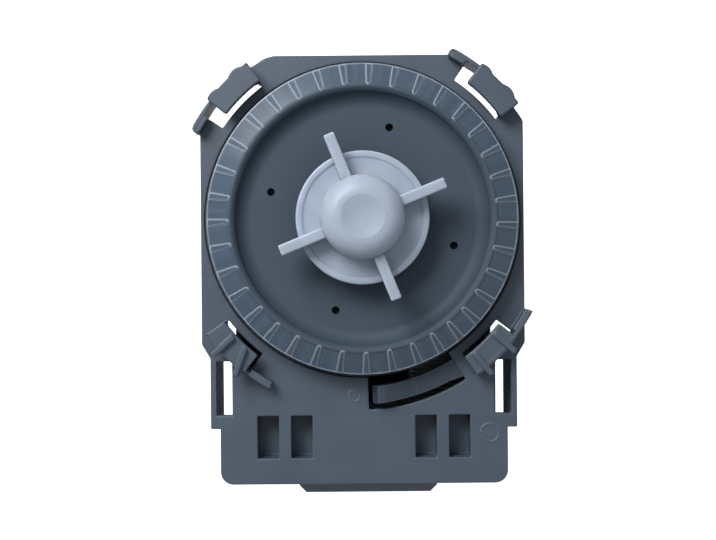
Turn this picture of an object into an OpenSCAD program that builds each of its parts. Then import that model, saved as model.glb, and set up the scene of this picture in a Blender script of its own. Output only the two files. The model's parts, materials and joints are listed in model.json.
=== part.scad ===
// Dishwasher drain pump: bayonet plate, ribbed chamber disc with wet rotor can, four-blade impeller,
// split-core synchronous motor and clip-on rear cover.
// Origin: rotor axis at the front face of the plate. +Z points to the impeller, +Y to the plate's top edge.

/* [Plate] */
// Width of the plate
plate_w = 74.6; // [74:0.2:78]
// Top edge above the rotor axis
plate_top = 38; // [37:0.5:40]
// Bottom edge below the rotor axis
plate_bottom = 61; // [60:0.5:64]
// Step from the hooks' outer face to the trimmed top corners
corner_step = 0.6; // [0:0.1:1.2]
// Length cut from the top edge where it turns into the rounded sides
top_corner_cut = 1; // [0.4:0.1:2]
// Thickness of the plate
plate_t = 3; // [2.4:0.1:3.4]
// Width across the shoulders with the side slots
shoulder_w = 70.8; // [70:0.2:72]
// Shoulder start below the rotor axis
shoulder_top = 28.6; // [27:0.2:30]
// Shoulder end below the rotor axis
shoulder_bottom = 48.1; // [47:0.1:50]
// Width of the lower box
box_w = 66.4; // [65:0.2:68]
// Corner radius of the lower box
box_corner_r = 3; // [1:0.5:5]
// Wall of the skirt behind the plate
skirt_t = 1.4; // [1.2:0.1:1.8]
// Depth of the skirt behind the upper plate
skirt_upper = 5; // [4:0.5:7]
// Depth of the skirt round the lower box
skirt_lower = 16; // [14:0.5:16]
// Width of each side slot
side_slot_w = 3.6; // [2:0.2:4]
// Length of each side slot
side_slot_l = 12.5; // [8:0.5:13]
// Top of the side slots below the rotor axis
side_slot_top = 32.5; // [32:0.5:34]
// Depth of the seat for the chamber disc
seat_depth = 1.6; // [1:0.1:2]
// Gap between the seat and the chamber disc
seat_gap = 1.1; // [0.8:0.1:1.3]

/* [Window pockets] */
// Width of a pocket
pocket_w = 4.9; // [4:0.1:5.4]
// Height of a pocket
pocket_h = 9.8; // [7:0.2:10.4]
// Depth of a pocket
pocket_depth = 6; // [4:0.5:8]
// Distance from the rotor axis plane to the inner pocket's centre
pocket_inner_x = 14.35; // [13:0.05:15]
// Distance between the two pockets of a pair
pocket_pitch = 7.75; // [7.5:0.05:8]
// Pocket centre below the rotor axis
pocket_y = 50.1; // [49:0.1:51]
// Wall of the hollow post behind a pocket
post_wall = 1.2; // [0.8:0.1:1.2]

/* [Bayonet hooks] */
// Width of the plate between the disc's seat and the windows
collar_w = 2.2; // [2:0.05:2.6]
// Width of a window, measured along the radius
window_w = 4.7; // [4:0.1:5]
// Wall thickness of a hook
hook_wall = 0.9; // [0.8:0.1:1.2]
// Thickness of the upper hooks' wall beyond the pad
tail_wall = 2.1; // [1.2:0.1:2.4]
// Height of the hook above the plate
hook_h = 5; // [4.5:0.1:6]
// Height of the gap under the hook's pad
hook_gap = 3; // [2.4:0.1:3.2]
// Gap between the pad and the inner edge of the window
pad_gap = 0.45; // [0.3:0.05:1]
// Angle where the window starts
hook_start = 37; // [36:0.5:38]
// Angle covered by the pad
pad_angle = 15; // [12:0.5:16]
// Angle of the open entry beyond the upper pads
entry_angle = 4.2; // [3:0.2:5]
// Angle of the open slit beyond the lower pads
slit_angle = 0.9; // [0.6:0.1:1.4]
// Angle from the end of the pad to the end of the hook's wall
hook_tail_angle = 9.1; // [8:0.1:10]
// Width of a rounded bump on the upper hooks
bump_w = 3; // [2:0.1:3.4]
// Width of a rib on the lower hooks
hook_rib_w = 1.3; // [1:0.1:2]
// Height of the lower hooks' ribs above the pad
hook_rib_rise = 1.2; // [0.6:0.1:1.6]

/* [Lock tongue] */
// Gap between the disc's seat and the tongue
tongue_gap = 1.9; // [1.7:0.1:2.2]
// Width of the tongue
tongue_w = 4; // [3.6:0.1:4.2]
// Width of the slit outside the tongue
tongue_slit = 1.6; // [1.2:0.1:1.8]
// Angle of the tongue's root
tongue_root = -58; // [-60:0.5:-57]
// Angle of the tongue's free end
tongue_tip = -87; // [-88:0.5:-85]
// Thickness of the tongue
tongue_t = 2; // [1.6:0.1:2.4]
// Height of the lug above the plate
lug_h = 2.6; // [1.5:0.1:3]
// Length of the lug with its ramp
lug_l = 10.5; // [8:0.5:13]

/* [Chamber disc] */
// Outer radius of the disc
disc_r = 35.3; // [35:0.1:35.5]
// Height of the rim's outer edge above the plate
rim_edge_h = 5.6; // [5.4:0.1:6]
// Height of the rim's crest above the plate
rim_crest_h = 8.5; // [8:0.1:9.5]
// Radius of the rim's crest
rim_crest_r = 30; // [29.4:0.1:30.6]
// Height of the chamber floor above the plate
floor_h = 5; // [4.6:0.1:5.4]
// Thickness of the chamber floor
floor_t = 2.5; // [2:0.1:2.8]
// Number of ribs on the rim
rim_ribs = 36; // [24:1:40]
// Width of a rim rib at its outer end
rim_rib_w = 1.5; // [1:0.1:1.8]
// Width of a rim rib at its inner end
rim_rib_tip_w = 0.9; // [0.6:0.1:1.2]
// Height of a rim rib
rim_rib_h = 0.45; // [0.3:0.05:0.8]
// Angle of the first rim rib
rim_rib_phase = 7; // [0:0.5:9.5]
// Radius of the circle of small floor holes
pin_circle_r = 21.6; // [20:0.1:23]
// Diameter of a small floor hole
pin_hole_d = 1.8; // [1:0.1:2.2]
// Diameter of the seal ring's section
seal_d = 2; // [1.8:0.1:2.2]
// Height of the seal ring above the plate
seal_h = 2; // [1.8:0.1:2.2]
// Reach of the seal ring past the disc
seal_reach = 0.65; // [0.4:0.05:0.75]

/* [Rotor] */
// Diameter of the shaft
shaft_d = 4; // [3.6:0.1:4.4]
// Outer radius of the magnet
magnet_r = 12.9; // [12.4:0.1:13]
// Length of the magnet
magnet_l = 21.4; // [20:0.2:22]
// Gap between magnet and can
magnet_gap = 0.6; // [0.4:0.1:0.8]
// Wall of the rotor can
can_wall = 1; // [0.8:0.1:1.1]
// Outer radius of a bearing
bearing_r = 5; // [4.5:0.1:5.3]
// Length of a bearing
bearing_l = 6; // [5:0.2:6.4]
// Radial running clearance on the shaft
run_gap = 0.04; // [0.02:0.01:0.08]

/* [Impeller] */
// Radius to the blade tips
blade_r = 19.5; // [18:0.1:22]
// Thickness of a blade
blade_t = 2.4; // [1.8:0.1:3.2]
// Corner radius of the blade tips
blade_corner_r = 0.5; // [0.2:0.1:0.8]
// Height of the blade tops above the plate
blade_top = 17; // [15.5:0.1:18]
// Angle of the first blade
blade_phase = 22; // [0:0.5:45]
// Radius of the back disc
back_disc_r = 14.8; // [13:0.1:16]
// Height of the back disc's underside above the plate
back_disc_h = 11; // [10.6:0.1:11.6]
// Thickness of the back disc
back_disc_t = 1.2; // [1:0.1:1.6]
// Radius of the hub
hub_r = 9.2; // [9:0.1:10]
// Height of the hub's top above the plate
hub_top = 21; // [20.5:0.1:22.5]
// Rounding of the hub's shoulder
hub_round = 4.25; // [2.05:0.1:4.45]
// Angle filled by the stop inside the hub
stop_angle = 70; // [50:1:90]
// Angle of the drive dog's arm
dog_angle = 60; // [40:1:70]
// Angle of each rubber pad on the dog
buffer_angle = 8; // [4:1:10]

/* [Stator] */
// Width across the core
core_w = 49; // [48:0.5:50]
// Thickness of the lamination stack
stack_l = 20; // [18:0.5:20.5]
// Depth of the stack's middle behind the plate's front face
stack_depth = 27; // [26.6:0.1:27.6]
// Width of a leg inside its coil
leg_w = 12; // [11:0.2:12.2]
// Height of the yoke
yoke_h = 11; // [10.5:0.1:11.2]
// Bottom of the yoke below the rotor axis
yoke_bottom = 55; // [54.6:0.1:55.2]
// Gap between the rotor can and the pole faces
pole_gap = 0.5; // [0.3:0.1:0.7]
// Build-up of the winding
winding_t = 2.7; // [2:0.1:2.7]
// Wall of the bobbin
bobbin_wall = 0.9; // [0.7:0.1:1]

/* [Rear cover] */
// Wall of the cover
cover_wall = 1.5; // [1.2:0.1:1.8]
// Depth of the cover's back behind the plate's front face
cover_depth = 48.8; // [48.6:0.2:52]
// Width of the connector
conn_w = 33.8; // [30:0.2:36]
// Height of the connector, front to back
conn_h = 16.6; // [15:0.2:17.6]
// Bottom of the connector below the rotor axis
conn_bottom = 66; // [64:0.5:69]
// Sideways place of the connector
conn_x = 1; // [-2:0.5:2]
// Wall of the connector
conn_wall = 1.6; // [1.2:0.1:1.8]
// Width of a terminal tab
tab_w = 6.3; // [4.8:0.1:6.3]
// Thickness of a terminal tab
tab_t = 0.8; // [0.5:0.1:1]

/* [Hidden] */
$fn = 96;
eps = 0.01;

plastic_grey = "#525d69";
natural_white = "#b4c0cd";
rubber_black = "#1b1d20";
steel = "#9da1a5";
ceramic_white = "#e6e4dc";
magnet_grey = "#3a3b3d";
bobbin_black = "#26282c";
copper = "#b4643a";
tape_black = "#1c1d20";
brass = "#c2a04e";

fit_gap = 0.2;      // loose fit between moulded pieces
body_gap = 0.3;     // room between pieces that move apart

// Depths along the rotor axis
core_front = -stack_depth + stack_l / 2;
core_back = -stack_depth - stack_l / 2;
magnet_bore_r = 6;
magnet_back = -stack_depth - magnet_l / 2;
magnet_front = -stack_depth + magnet_l / 2;
flange_t = 1;
washer_t = 0.5;
washer_gap = 0.15;
carrier_back = magnet_back - flange_t;
carrier_front = magnet_front + flange_t + 2.4;
rear_bearing_z = carrier_back - washer_t - 2 * washer_gap - bearing_l;
front_bearing_z = carrier_front + washer_t + 2 * washer_gap;
rubber_web = 0.8;
rubber_r = bearing_r + 2.4;
can_inner_r = magnet_r + magnet_gap;
can_r = can_inner_r + can_wall;
can_end_inner = rear_bearing_z - rubber_web;
can_end_t = 1.4;
can_step = carrier_back - washer_t;
shaft_r = shaft_d / 2;
bore_r = shaft_r + run_gap;
pole_r = can_r + pole_gap;

// Hooks: the wall beyond the pad is lower than the pad, and what stands on each pad reaches past the wall
tail_drop = 1.4;
bump_reach = 0.6;
bump_first = 3.6;
bump_last = 2;
rib_reach = 1.7;
// Ribs on the lower hooks: angles of each rib's inner and outer end from the window's start
left_hook_ribs = [[4.9, 4.9], [10.1, 13.5]];
right_hook_ribs = [[2.3, 2.3], [11.5, 11.5]];

// Rim of the chamber disc
seat_r = disc_r + seat_gap;
hook_slot_r = seat_r + collar_w;
hook_in_r = hook_slot_r + window_w;
hook_r = hook_in_r + hook_wall;
plate_corner_r = hook_r - corner_step;
pad_r = hook_slot_r + pad_gap;
tongue_r0 = seat_r + tongue_gap;
tongue_r1 = tongue_r0 + tongue_w;
tongue_slot_r = tongue_r1 + tongue_slit;
wall_in_r = disc_r - 2.7;
groove_r = disc_r + seal_reach - seal_d - 0.05;
rim_lip = 0.3;
floor_flat_r = rim_crest_r - 3.3;

// Snap legs of the chamber disc
leg_r0 = 23;
leg_t = 2;
leg_half = 2.4;
leg_room = 0.5;

// Lost motion of the impeller on its dog
hub_bore_r = hub_r - 1.7;
dog_r = hub_bore_r - 0.4;
dog_hub_r = shaft_r + 2;
hub_floor = back_disc_h + back_disc_t;
hub_cap_t = 3.8;
hub_ceiling = hub_top - hub_cap_t;
shaft_front = hub_ceiling + 1.4;

// Core and coils
dovetail_l = 4;
dovetail_neck = 5;
dovetail_wide = 6.4;
leg_x = core_w / 2 - leg_w / 2;
yoke_top = -yoke_bottom + yoke_h;
shoe_bottom = -can_r;
cover_top = shoe_bottom - 1.4;
coil_top = cover_top - cover_wall - 1.2;
coil_bottom = yoke_top + fit_gap;
bobbin_gap = 0.1;
bobbin_flange = 1.2;
tape_t = 0.2;
bobbin_x = leg_w / 2 + bobbin_gap + bobbin_wall;
bobbin_z = stack_l / 2 + bobbin_gap + bobbin_wall;
flange_over = winding_t + tape_t + 0.2;
cover_in_x = leg_x + bobbin_x + flange_over + fit_gap;
cover_x = cover_in_x + cover_wall;
cover_bottom = -plate_bottom + skirt_t + 0.4;
cover_front = -8.5;
screw_x = core_w / 2 - 3.5;
screw_y = 10;
screw_r = 1.8;
screw_hole_r = 2.1;
screw_depth = 8;
screw_head_r = 3.3;
screw_head_h = 2.2;
boss_r = 3.3;
collar_r = can_r + 0.5;
collar_t = 1.6;
collar_depth = 8;
back_rib_t = 1.4;
lower_top = -shoulder_top - 1;

// Connector
conn_front = core_front - 0.4;
conn_back = conn_front - conn_h;
conn_mid = (conn_front + conn_back) / 2;
conn_top = -yoke_bottom - fit_gap;
conn_floor = conn_top - 1.6;
tab_x = 9;
catch_w = 6;

// Snap hooks of the rear cover
snap_w = 4.6;
snap_z = -13;
snap_rise = 3.4;
snap_arm_t = 2;
snap_side_y = 52.8;
snap_bottom_x = 24;

module sector(r0, r1, a0, a1, z0, z1) {
  rotate([0, 0, a0]) translate([0, 0, z0])
    rotate_extrude(angle = a1 - a0) translate([r0, 0]) square([r1 - r0, z1 - z0]);
}

module ring(r0, r1, z0, z1) {
  translate([0, 0, z0]) difference() {
    cylinder(r = r1, h = z1 - z0);
    translate([0, 0, -1]) cylinder(r = r0, h = z1 - z0 + 2);
  }
}

module block(x0, x1, y0, y1, z0, z1) {
  translate([x0, y0, z0]) cube([x1 - x0, y1 - y0, z1 - z0]);
}

module rounded_rect(w, h, r) {
  square([w - 2 * r, h], center = true);
  square([w, h - 2 * r], center = true);
  for (sx = [-1, 1], sy = [-1, 1]) translate([sx * (w / 2 - r), sy * (h / 2 - r)]) circle(r = r);
}

// A shape drawn in X and Z that runs along -Y from y0 to y1
module along_y(y0, y1) {
  translate([0, y1, 0]) rotate([90, 0, 0]) linear_extrude(y1 - y0) children();
}

// Outline of the plate, drawn smaller all round by inset
module plate_outline(inset = 0) {
  half = plate_w / 2 - inset;
  shoulder = shoulder_w / 2 - inset;
  slope = 3.2;
  top = plate_top - inset;
  // The top edge meets the round sides at this angle, and the cut halves it
  turn = acos(top / (plate_corner_r - inset));
  top_half = (plate_corner_r - inset) * sin(turn) - top_corner_cut;
  side_top = top - (half - top_half) * tan(turn / 2);
  intersection() {
    polygon([[-half, -shoulder_top], [half, -shoulder_top], [half, side_top], [top_half, top],
      [-top_half, top], [-half, side_top]]);
    union() {
      circle(r = plate_corner_r - inset, $fn = 180);
      translate([-half, -shoulder_top]) square([2 * half, shoulder_top]);
    }
  }
  polygon([[-half, -shoulder_top + eps], [-half, -shoulder_top], [-shoulder, -shoulder_top - slope],
    [-shoulder, -shoulder_bottom + inset], [shoulder, -shoulder_bottom + inset],
    [shoulder, -shoulder_top - slope], [half, -shoulder_top], [half, -shoulder_top + eps]]);
  box_h = plate_bottom - shoulder_top;
  translate([0, -plate_bottom + box_h / 2 + inset / 2])
    rounded_rect(box_w - 2 * inset, box_h - inset, max(box_corner_r - inset, 0.5));
}

module skirt_ring(z0) {
  translate([0, 0, z0]) linear_extrude(-z0) difference() {
    plate_outline();
    plate_outline(skirt_t);
  }
}

// Places children at the four pockets of the lower box
module at_pockets() {
  for (s = [-1, 1], k = [0, 1])
    translate([s * (pocket_inner_x + k * pocket_pitch), -pocket_y, 0]) children();
}

// A bar that stands on a pad from angle a0 at its inner end to angle a1 at its outer end
module pad_bar(a0, a1, r1, w, z1) {
  r0 = pad_r + 0.4;
  from = [r0 * cos(a0), r0 * sin(a0)];
  run = [r1 * cos(a1), r1 * sin(a1)] - from;
  translate([from[0], from[1], 0]) rotate([0, 0, atan2(run[1], run[0])])
    block(0, norm(run), -w / 2, w / 2, hook_gap + 0.4, z1);
}

// Wall behind the window, pad that overhangs it and the stop at its closed end
module hook_body() {
  pad_end = hook_start + pad_angle;
  wall_end = pad_end + hook_tail_angle;
  difference() {
    sector(hook_in_r, hook_r, hook_start - 1, wall_end, -skirt_upper, hook_h);
    sector(hook_in_r - 1, hook_r + 1, pad_end, wall_end + 1, hook_h - tail_drop, hook_h + 1);
  }
  sector(pad_r, hook_in_r + hook_wall / 2, hook_start - 0.9, pad_end - 0.1, hook_gap, hook_h - 0.1);
  sector(pad_r + 0.1, hook_in_r + hook_wall / 2, hook_start - 0.8, hook_start, -plate_t + 0.1, hook_gap + 1);
}

// Upper hooks: two rounded bumps across the pad, and a thicker wall with a round end beyond it
module upper_hook() {
  wall_end = hook_start + pad_angle + hook_tail_angle;
  tail_r = hook_r - tail_wall / 2;
  bump_r = bump_w / 2;
  hook_body();
  sector(hook_r - tail_wall, hook_r - 0.1, hook_start + pad_angle + entry_angle + 0.2, wall_end - 0.2,
    -plate_t + 0.1, hook_h - tail_drop - 0.1);
  rotate([0, 0, wall_end - 0.2]) translate([tail_r, 0, -plate_t + 0.2])
    cylinder(r = tail_wall / 2 - 0.05, h = plate_t + hook_h - tail_drop - 0.4, $fn = 32);
  for (a = [hook_start + bump_first, hook_start + pad_angle - bump_last]) {
    pad_bar(a, a, hook_r + bump_reach - bump_r, bump_w, hook_h + 0.05);
    rotate([0, 0, a]) translate([hook_r + bump_reach - bump_r, 0, hook_gap + 0.4])
      cylinder(r = bump_r, h = hook_h - hook_gap - 0.35, $fn = 32);
  }
}

// Lower hooks: two ribs across the pad, each given by the angles of its inner and outer end
module lower_hook(ribs) {
  hook_body();
  for (rib = ribs)
    pad_bar(hook_start + rib[0], hook_start + rib[1], hook_r + rib_reach, hook_rib_w,
      hook_h + hook_rib_rise);
}

module hook_window(gap_angle) {
  sector(hook_slot_r, hook_in_r + hook_wall / 2, hook_start - 0.5, hook_start + pad_angle + gap_angle,
    -skirt_upper - 1, 1);
}

// Opening round the tongue, from the disc's seat to the tongue's outer slit
module tongue_opening() {
  sector(seat_r - 1.5, tongue_slot_r, tongue_tip - 1.4, tongue_root + 0.4, -plate_t - 1, 1);
}

module snap_window() {
  block(-skirt_t, skirt_t, -snap_w / 2 - 0.4, snap_w / 2 + 0.4, snap_z - fit_gap, snap_z + snap_rise + 0.4);
}

// Places children at the four snap legs of the chamber disc
module at_snap_legs() {
  for (a = [45:90:315]) rotate([0, 0, a]) children();
}

// The plate's moulding before the hooks are added over their windows
module plate_shell() {
  side_slot_x = shoulder_w / 2 - skirt_t - side_slot_w / 2;
  difference() {
    union() {
      translate([0, 0, -plate_t]) linear_extrude(plate_t) plate_outline();
      skirt_ring(-skirt_upper);
      intersection() {
        skirt_ring(-skirt_lower);
        block(-plate_w, plate_w, -plate_bottom - 1, lower_top, -skirt_lower - 1, 1);
      }
      // Walls that close the deep skirt towards the upper plate
      for (s = [-1, 1])
        translate([s * (cover_x + shoulder_w / 2) / 2, lower_top - skirt_t / 2, -skirt_lower / 2])
          cube([shoulder_w / 2 - cover_x - 1, skirt_t, skirt_lower], center = true);
      ring(collar_r, collar_r + collar_t, -collar_depth, 0);
      // Ribs behind the upper plate
      for (a = [18:36:162]) rotate([0, 0, a])
        block(collar_r + 1, plate_top - skirt_t, -back_rib_t / 2, back_rib_t / 2,
          -skirt_upper, -plate_t + eps);
      // Bosses for the core screws
      for (s = [-1, 1]) translate([s * screw_x, screw_y, core_front]) cylinder(r = boss_r, h = -core_front);
      // Hollow posts that carry the yoke
      at_pockets() translate([0, 0, core_front]) linear_extrude(-core_front)
        square([pocket_w + 2 * post_wall, pocket_h + 2 * post_wall], center = true);
    }
    for (q = [0, 1]) rotate([0, 0, 90 * q]) hook_window(entry_angle);
    for (q = [2, 3]) rotate([0, 0, 90 * q]) hook_window(slit_angle);
    translate([0, 0, -seat_depth]) cylinder(r = seat_r, h = seat_depth + 1, $fn = 180);
    translate([0, 0, -plate_t - 1]) cylinder(r = collar_r, h = plate_t + 2);
    tongue_opening();
    for (s = [-1, 1]) translate([s * side_slot_x, -side_slot_top - side_slot_l / 2, -plate_t / 2])
      cube([side_slot_w, side_slot_l, plate_t + 2], center = true);
    at_pockets() {
      translate([0, 0, -pocket_depth]) linear_extrude(pocket_depth + 1)
        square([pocket_w, pocket_h], center = true);
      translate([0, 0, core_front - 1]) linear_extrude(-core_front - pocket_depth - post_wall + 1)
        square([pocket_w, pocket_h], center = true);
    }
    for (s = [-1, 1]) translate([s * screw_x, screw_y, core_front - 1])
      cylinder(r = screw_r + run_gap, h = screw_depth + 2);
    for (s = [-1, 1]) translate([s * (box_w - skirt_t) / 2, -snap_side_y, 0]) snap_window();
    for (s = [-1, 1]) translate([s * snap_bottom_x, -plate_bottom + skirt_t / 2, 0])
      rotate([0, 0, 90]) snap_window();
    at_snap_legs() block(leg_r0 - leg_room, leg_r0 + leg_t + 2.3, -leg_half - leg_room,
      leg_half + leg_room, -plate_t - 1, 0);
  }
}

module mounting_plate() color(plastic_grey) {
  plate_shell();
  for (q = [0, 1]) rotate([0, 0, 90 * q]) upper_hook();
  rotate([0, 0, 180]) lower_hook(left_hook_ribs);
  rotate([0, 0, 270]) lower_hook(right_hook_ribs);
}

// Curved bar that flares at its root, with a lug at the free end: front chamfer, flat top and a long ramp
module lock_tongue() color(plastic_grey) {
  root_gap = body_gap / tongue_r0 * 180 / PI;
  root_end = tongue_root + 0.4 - root_gap;
  flare = 4;
  flare_out = (tongue_slit - body_gap) / 2;
  lug_angle = lug_l / tongue_r0 * 180 / PI;
  margin = 3;
  sector(tongue_r0, tongue_r1, tongue_tip, root_end, -tongue_t, 0);
  // The flare is a disc segment that swells from the bar's outer edge towards the root
  intersection() {
    sector(tongue_r1 - 1, tongue_slot_r - body_gap, root_end - flare, root_end, -tongue_t + 0.05, -0.05);
    rotate([0, 0, root_end]) translate([0, -tongue_r1 * sin(flare), -tongue_t])
      linear_extrude(tongue_t) polygon([[tongue_r1 - 2, 0], [tongue_r1 * cos(flare) + 0.05, 0],
        [tongue_r1 + flare_out, tongue_r1 * sin(flare)], [tongue_r1 - 2, tongue_r1 * sin(flare)]]);
  }
  intersection() {
    sector(tongue_r0 + 0.05, tongue_r1 - 0.05, tongue_tip + 0.1, tongue_tip + lug_angle + margin,
      -tongue_t, lug_h);
    translate([tongue_r0 * cos(tongue_tip), -tongue_r0 + 1, 0]) rotate([90, 0, 0])
      linear_extrude(tongue_slot_r - tongue_r0 + 2) polygon([[-1, -tongue_t], [-1, 0], [0, 0],
        [lug_h / 2, lug_h], [lug_h, lug_h], [lug_l, 0], [lug_l, -tongue_t]]);
  }
}

// Upright wedge with a round inner tip, from which a rim rib is cut
module rim_rib_blank() {
  tip_r = rim_rib_tip_w / 2;
  tip_x = rim_crest_r + 0.1 + tip_r;
  translate([0, 0, floor_h]) {
    translate([tip_x, 0, 0]) cylinder(r = tip_r, h = rim_crest_h - floor_h + 2, $fn = 24);
    linear_extrude(rim_crest_h - floor_h + 2) polygon([[tip_x, -tip_r], [disc_r, -rim_rib_w / 2],
      [disc_r, rim_rib_w / 2], [tip_x, tip_r]]);
  }
}

module rim_profile_lift(lift) {
  polygon([[rim_crest_r, floor_h - 1], [rim_crest_r, rim_crest_h + lift],
    [disc_r - rim_lip, rim_edge_h + lift], [disc_r - rim_lip, floor_h - 1]]);
}

module chamber_disc() color(plastic_grey) {
  fillet = 2;
  difference() {
    union() {
      rotate_extrude($fn = 180) difference() {
        union() {
          translate([can_inner_r, floor_h - floor_t]) square([disc_r - 1 - can_inner_r, floor_t]);
          rim_profile_lift(0);
          translate([wall_in_r, -seat_depth]) square([disc_r - wall_in_r, rim_edge_h + seat_depth]);
          translate([rim_crest_r - 2.4, floor_h - floor_t]) square([3, floor_t + 1.5]);
          polygon([[floor_flat_r + 0.3, floor_h], [rim_crest_r, floor_h], [rim_crest_r, rim_crest_h],
            [rim_crest_r - 0.5, rim_crest_h - 0.2]]);
        }
        translate([floor_flat_r, floor_h + fillet]) circle(r = fillet);
        translate([groove_r, seal_h - seal_d / 2 - 0.1]) square([seal_d + 1, seal_d + 0.2]);
      }
      intersection() {
        rotate_extrude($fn = 180) difference() {
          rim_profile_lift(rim_rib_h);
          square([disc_r, floor_h]);
        }
        for (k = [0:rim_ribs - 1]) rotate([0, 0, rim_rib_phase + k * 360 / rim_ribs])
          rim_rib_blank();
      }
      // Rotor can with its stepped rear end
      ring(can_inner_r, can_r, can_step - can_wall, floor_h);
      ring(rubber_r, can_r - eps, can_step - can_wall, can_step);
      ring(rubber_r, rubber_r + can_wall, can_end_inner, can_step);
      translate([0, 0, can_end_inner - can_end_t]) cylinder(r = rubber_r + can_wall, h = can_end_t);
      // Snap legs through the plate
      at_snap_legs() {
        block(leg_r0, leg_r0 + leg_t, -leg_half, leg_half, -plate_t - 1.6, floor_h - floor_t + eps);
        translate([leg_r0 + leg_t, leg_half, -plate_t]) rotate([90, 0, 0]) linear_extrude(2 * leg_half)
          polygon([[-0.1, -fit_gap], [3.2, -fit_gap], [-0.1, -1.6]]);
      }
    }
    for (a = [73.2:90:343.2]) rotate([0, 0, a]) translate([pin_circle_r, 0, floor_h - 1.6])
      cylinder(d = pin_hole_d, h = 3, $fn = 24);
  }
}

module seal_ring() color(rubber_black)
  translate([0, 0, seal_h]) rotate_extrude($fn = 180)
    translate([disc_r + seal_reach - seal_d / 2, 0]) circle(d = seal_d, $fn = 32);

// Lid of the rotor can: plug in the can's mouth, cup for the front bearing and hollow nose under the impeller
module bearing_bracket() color(plastic_grey) {
  lid_t = 1.2;
  wall = 1.5;
  bore = shaft_r + 0.5;
  plug_l = 11;
  nose_h = back_disc_h - 1.6;
  cup_top = front_bearing_z + bearing_l + rubber_web;
  rotate_extrude() difference() {
    union() {
      translate([bore, floor_h]) square([can_r + 0.6 - bore, lid_t]);
      translate([bore, front_bearing_z - 0.3])
        square([rubber_r + wall + 0.4 - bore, floor_h + lid_t - front_bearing_z]);
      translate([can_inner_r - wall, floor_h - plug_l]) square([wall - 0.1, plug_l + lid_t / 2]);
      polygon([[bore, floor_h], [rubber_r + 0.6, floor_h], [rubber_r - 0.8, nose_h], [bore, nose_h]]);
    }
    translate([0, front_bearing_z - 1]) square([rubber_r, cup_top - front_bearing_z + 1]);
    translate([0, cup_top + wall]) square([bearing_r, nose_h - cup_top - 2 * wall]);
  }
}

module bearing_bush(z) {
  translate([0, 0, z]) rotate_extrude() difference() {
    translate([bore_r, 0]) square([bearing_r - bore_r, bearing_l]);
    for (e = [0, bearing_l]) translate([bearing_r, e]) rotate(45) square(0.7, center = true);
  }
}

module front_bearing() color(ceramic_white) bearing_bush(front_bearing_z);
module rear_bearing() color(ceramic_white) bearing_bush(rear_bearing_z);

// Rubber cup with a web behind the bush
module rubber_cup() {
  rotate_extrude() {
    translate([bearing_r, 0]) square([rubber_r - bearing_r, bearing_l + rubber_web]);
    translate([shaft_r + 0.6, bearing_l]) square([bearing_r - shaft_r, rubber_web]);
  }
}

module front_bearing_rubber() color(rubber_black) translate([0, 0, front_bearing_z]) rubber_cup();
module rear_bearing_rubber() color(rubber_black)
  translate([0, 0, rear_bearing_z + bearing_l]) mirror([0, 0, 1]) rubber_cup();

module front_thrust_washer() color(steel)
  ring(bore_r, bearing_r - 0.3, carrier_front + washer_gap, carrier_front + washer_gap + washer_t);
module rear_thrust_washer() color(steel)
  ring(bore_r, bearing_r - 0.3, carrier_back - washer_gap - washer_t, carrier_back - washer_gap);

module rotor_shaft() color(steel) {
  tip = 0.5;
  shaft_back = rear_bearing_z + 0.3;
  rotate_extrude() polygon([[0, shaft_back], [shaft_r - tip, shaft_back], [shaft_r, shaft_back + tip],
    [shaft_r, shaft_front - tip], [shaft_r - tip, shaft_front], [0, shaft_front]]);
}

module rotor_magnet() color(magnet_grey) rotate_extrude() difference() {
  translate([magnet_bore_r, magnet_back]) square([magnet_r - magnet_bore_r, magnet_l]);
  for (z = [magnet_back, magnet_front]) translate([magnet_r, z]) rotate(45) square(0.9, center = true);
}

// Moulded core of the rotor: sleeve on the shaft, a flange on each side of the magnet and a spacer in front
module magnet_carrier() color(natural_white) rotate_extrude() {
  flange_r = magnet_r - 1.4;
  spacer_t = 2;
  translate([shaft_r, carrier_back]) square([magnet_bore_r - shaft_r, magnet_l + 2 * flange_t]);
  for (z = [carrier_back, magnet_front]) translate([shaft_r, z]) square([flange_r - shaft_r, flange_t]);
  translate([shaft_r, magnet_front]) square([spacer_t, carrier_front - magnet_front]);
}

dog_phase = blade_phase + 180;
dog_base = hub_floor + 0.2;
dog_top = hub_ceiling - 0.3;

module drive_dog() color("#d8d4c8") {
  ring(shaft_r, dog_hub_r, dog_base, dog_top);
  sector(dog_hub_r - 0.2, dog_r, dog_phase - dog_angle / 2, dog_phase + dog_angle / 2, dog_base, dog_top);
}

// Two rubber pads on the sides of the dog's arm
module dog_buffer() color(rubber_black) {
  for (s = [-1, 1]) {
    a = dog_phase + s * (dog_angle / 2 + buffer_angle / 2);
    sector(dog_hub_r + 0.1, dog_r - 0.1, a - buffer_angle / 2, a + buffer_angle / 2, dog_base, dog_top);
  }
}

module hub_profile() {
  translate([0, hub_floor]) square([hub_r, hub_top - hub_round - hub_floor]);
  translate([0, hub_floor]) square([hub_r - hub_round, hub_top - hub_floor]);
  translate([hub_r - hub_round, hub_top - hub_round]) circle(r = hub_round);
}

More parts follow.
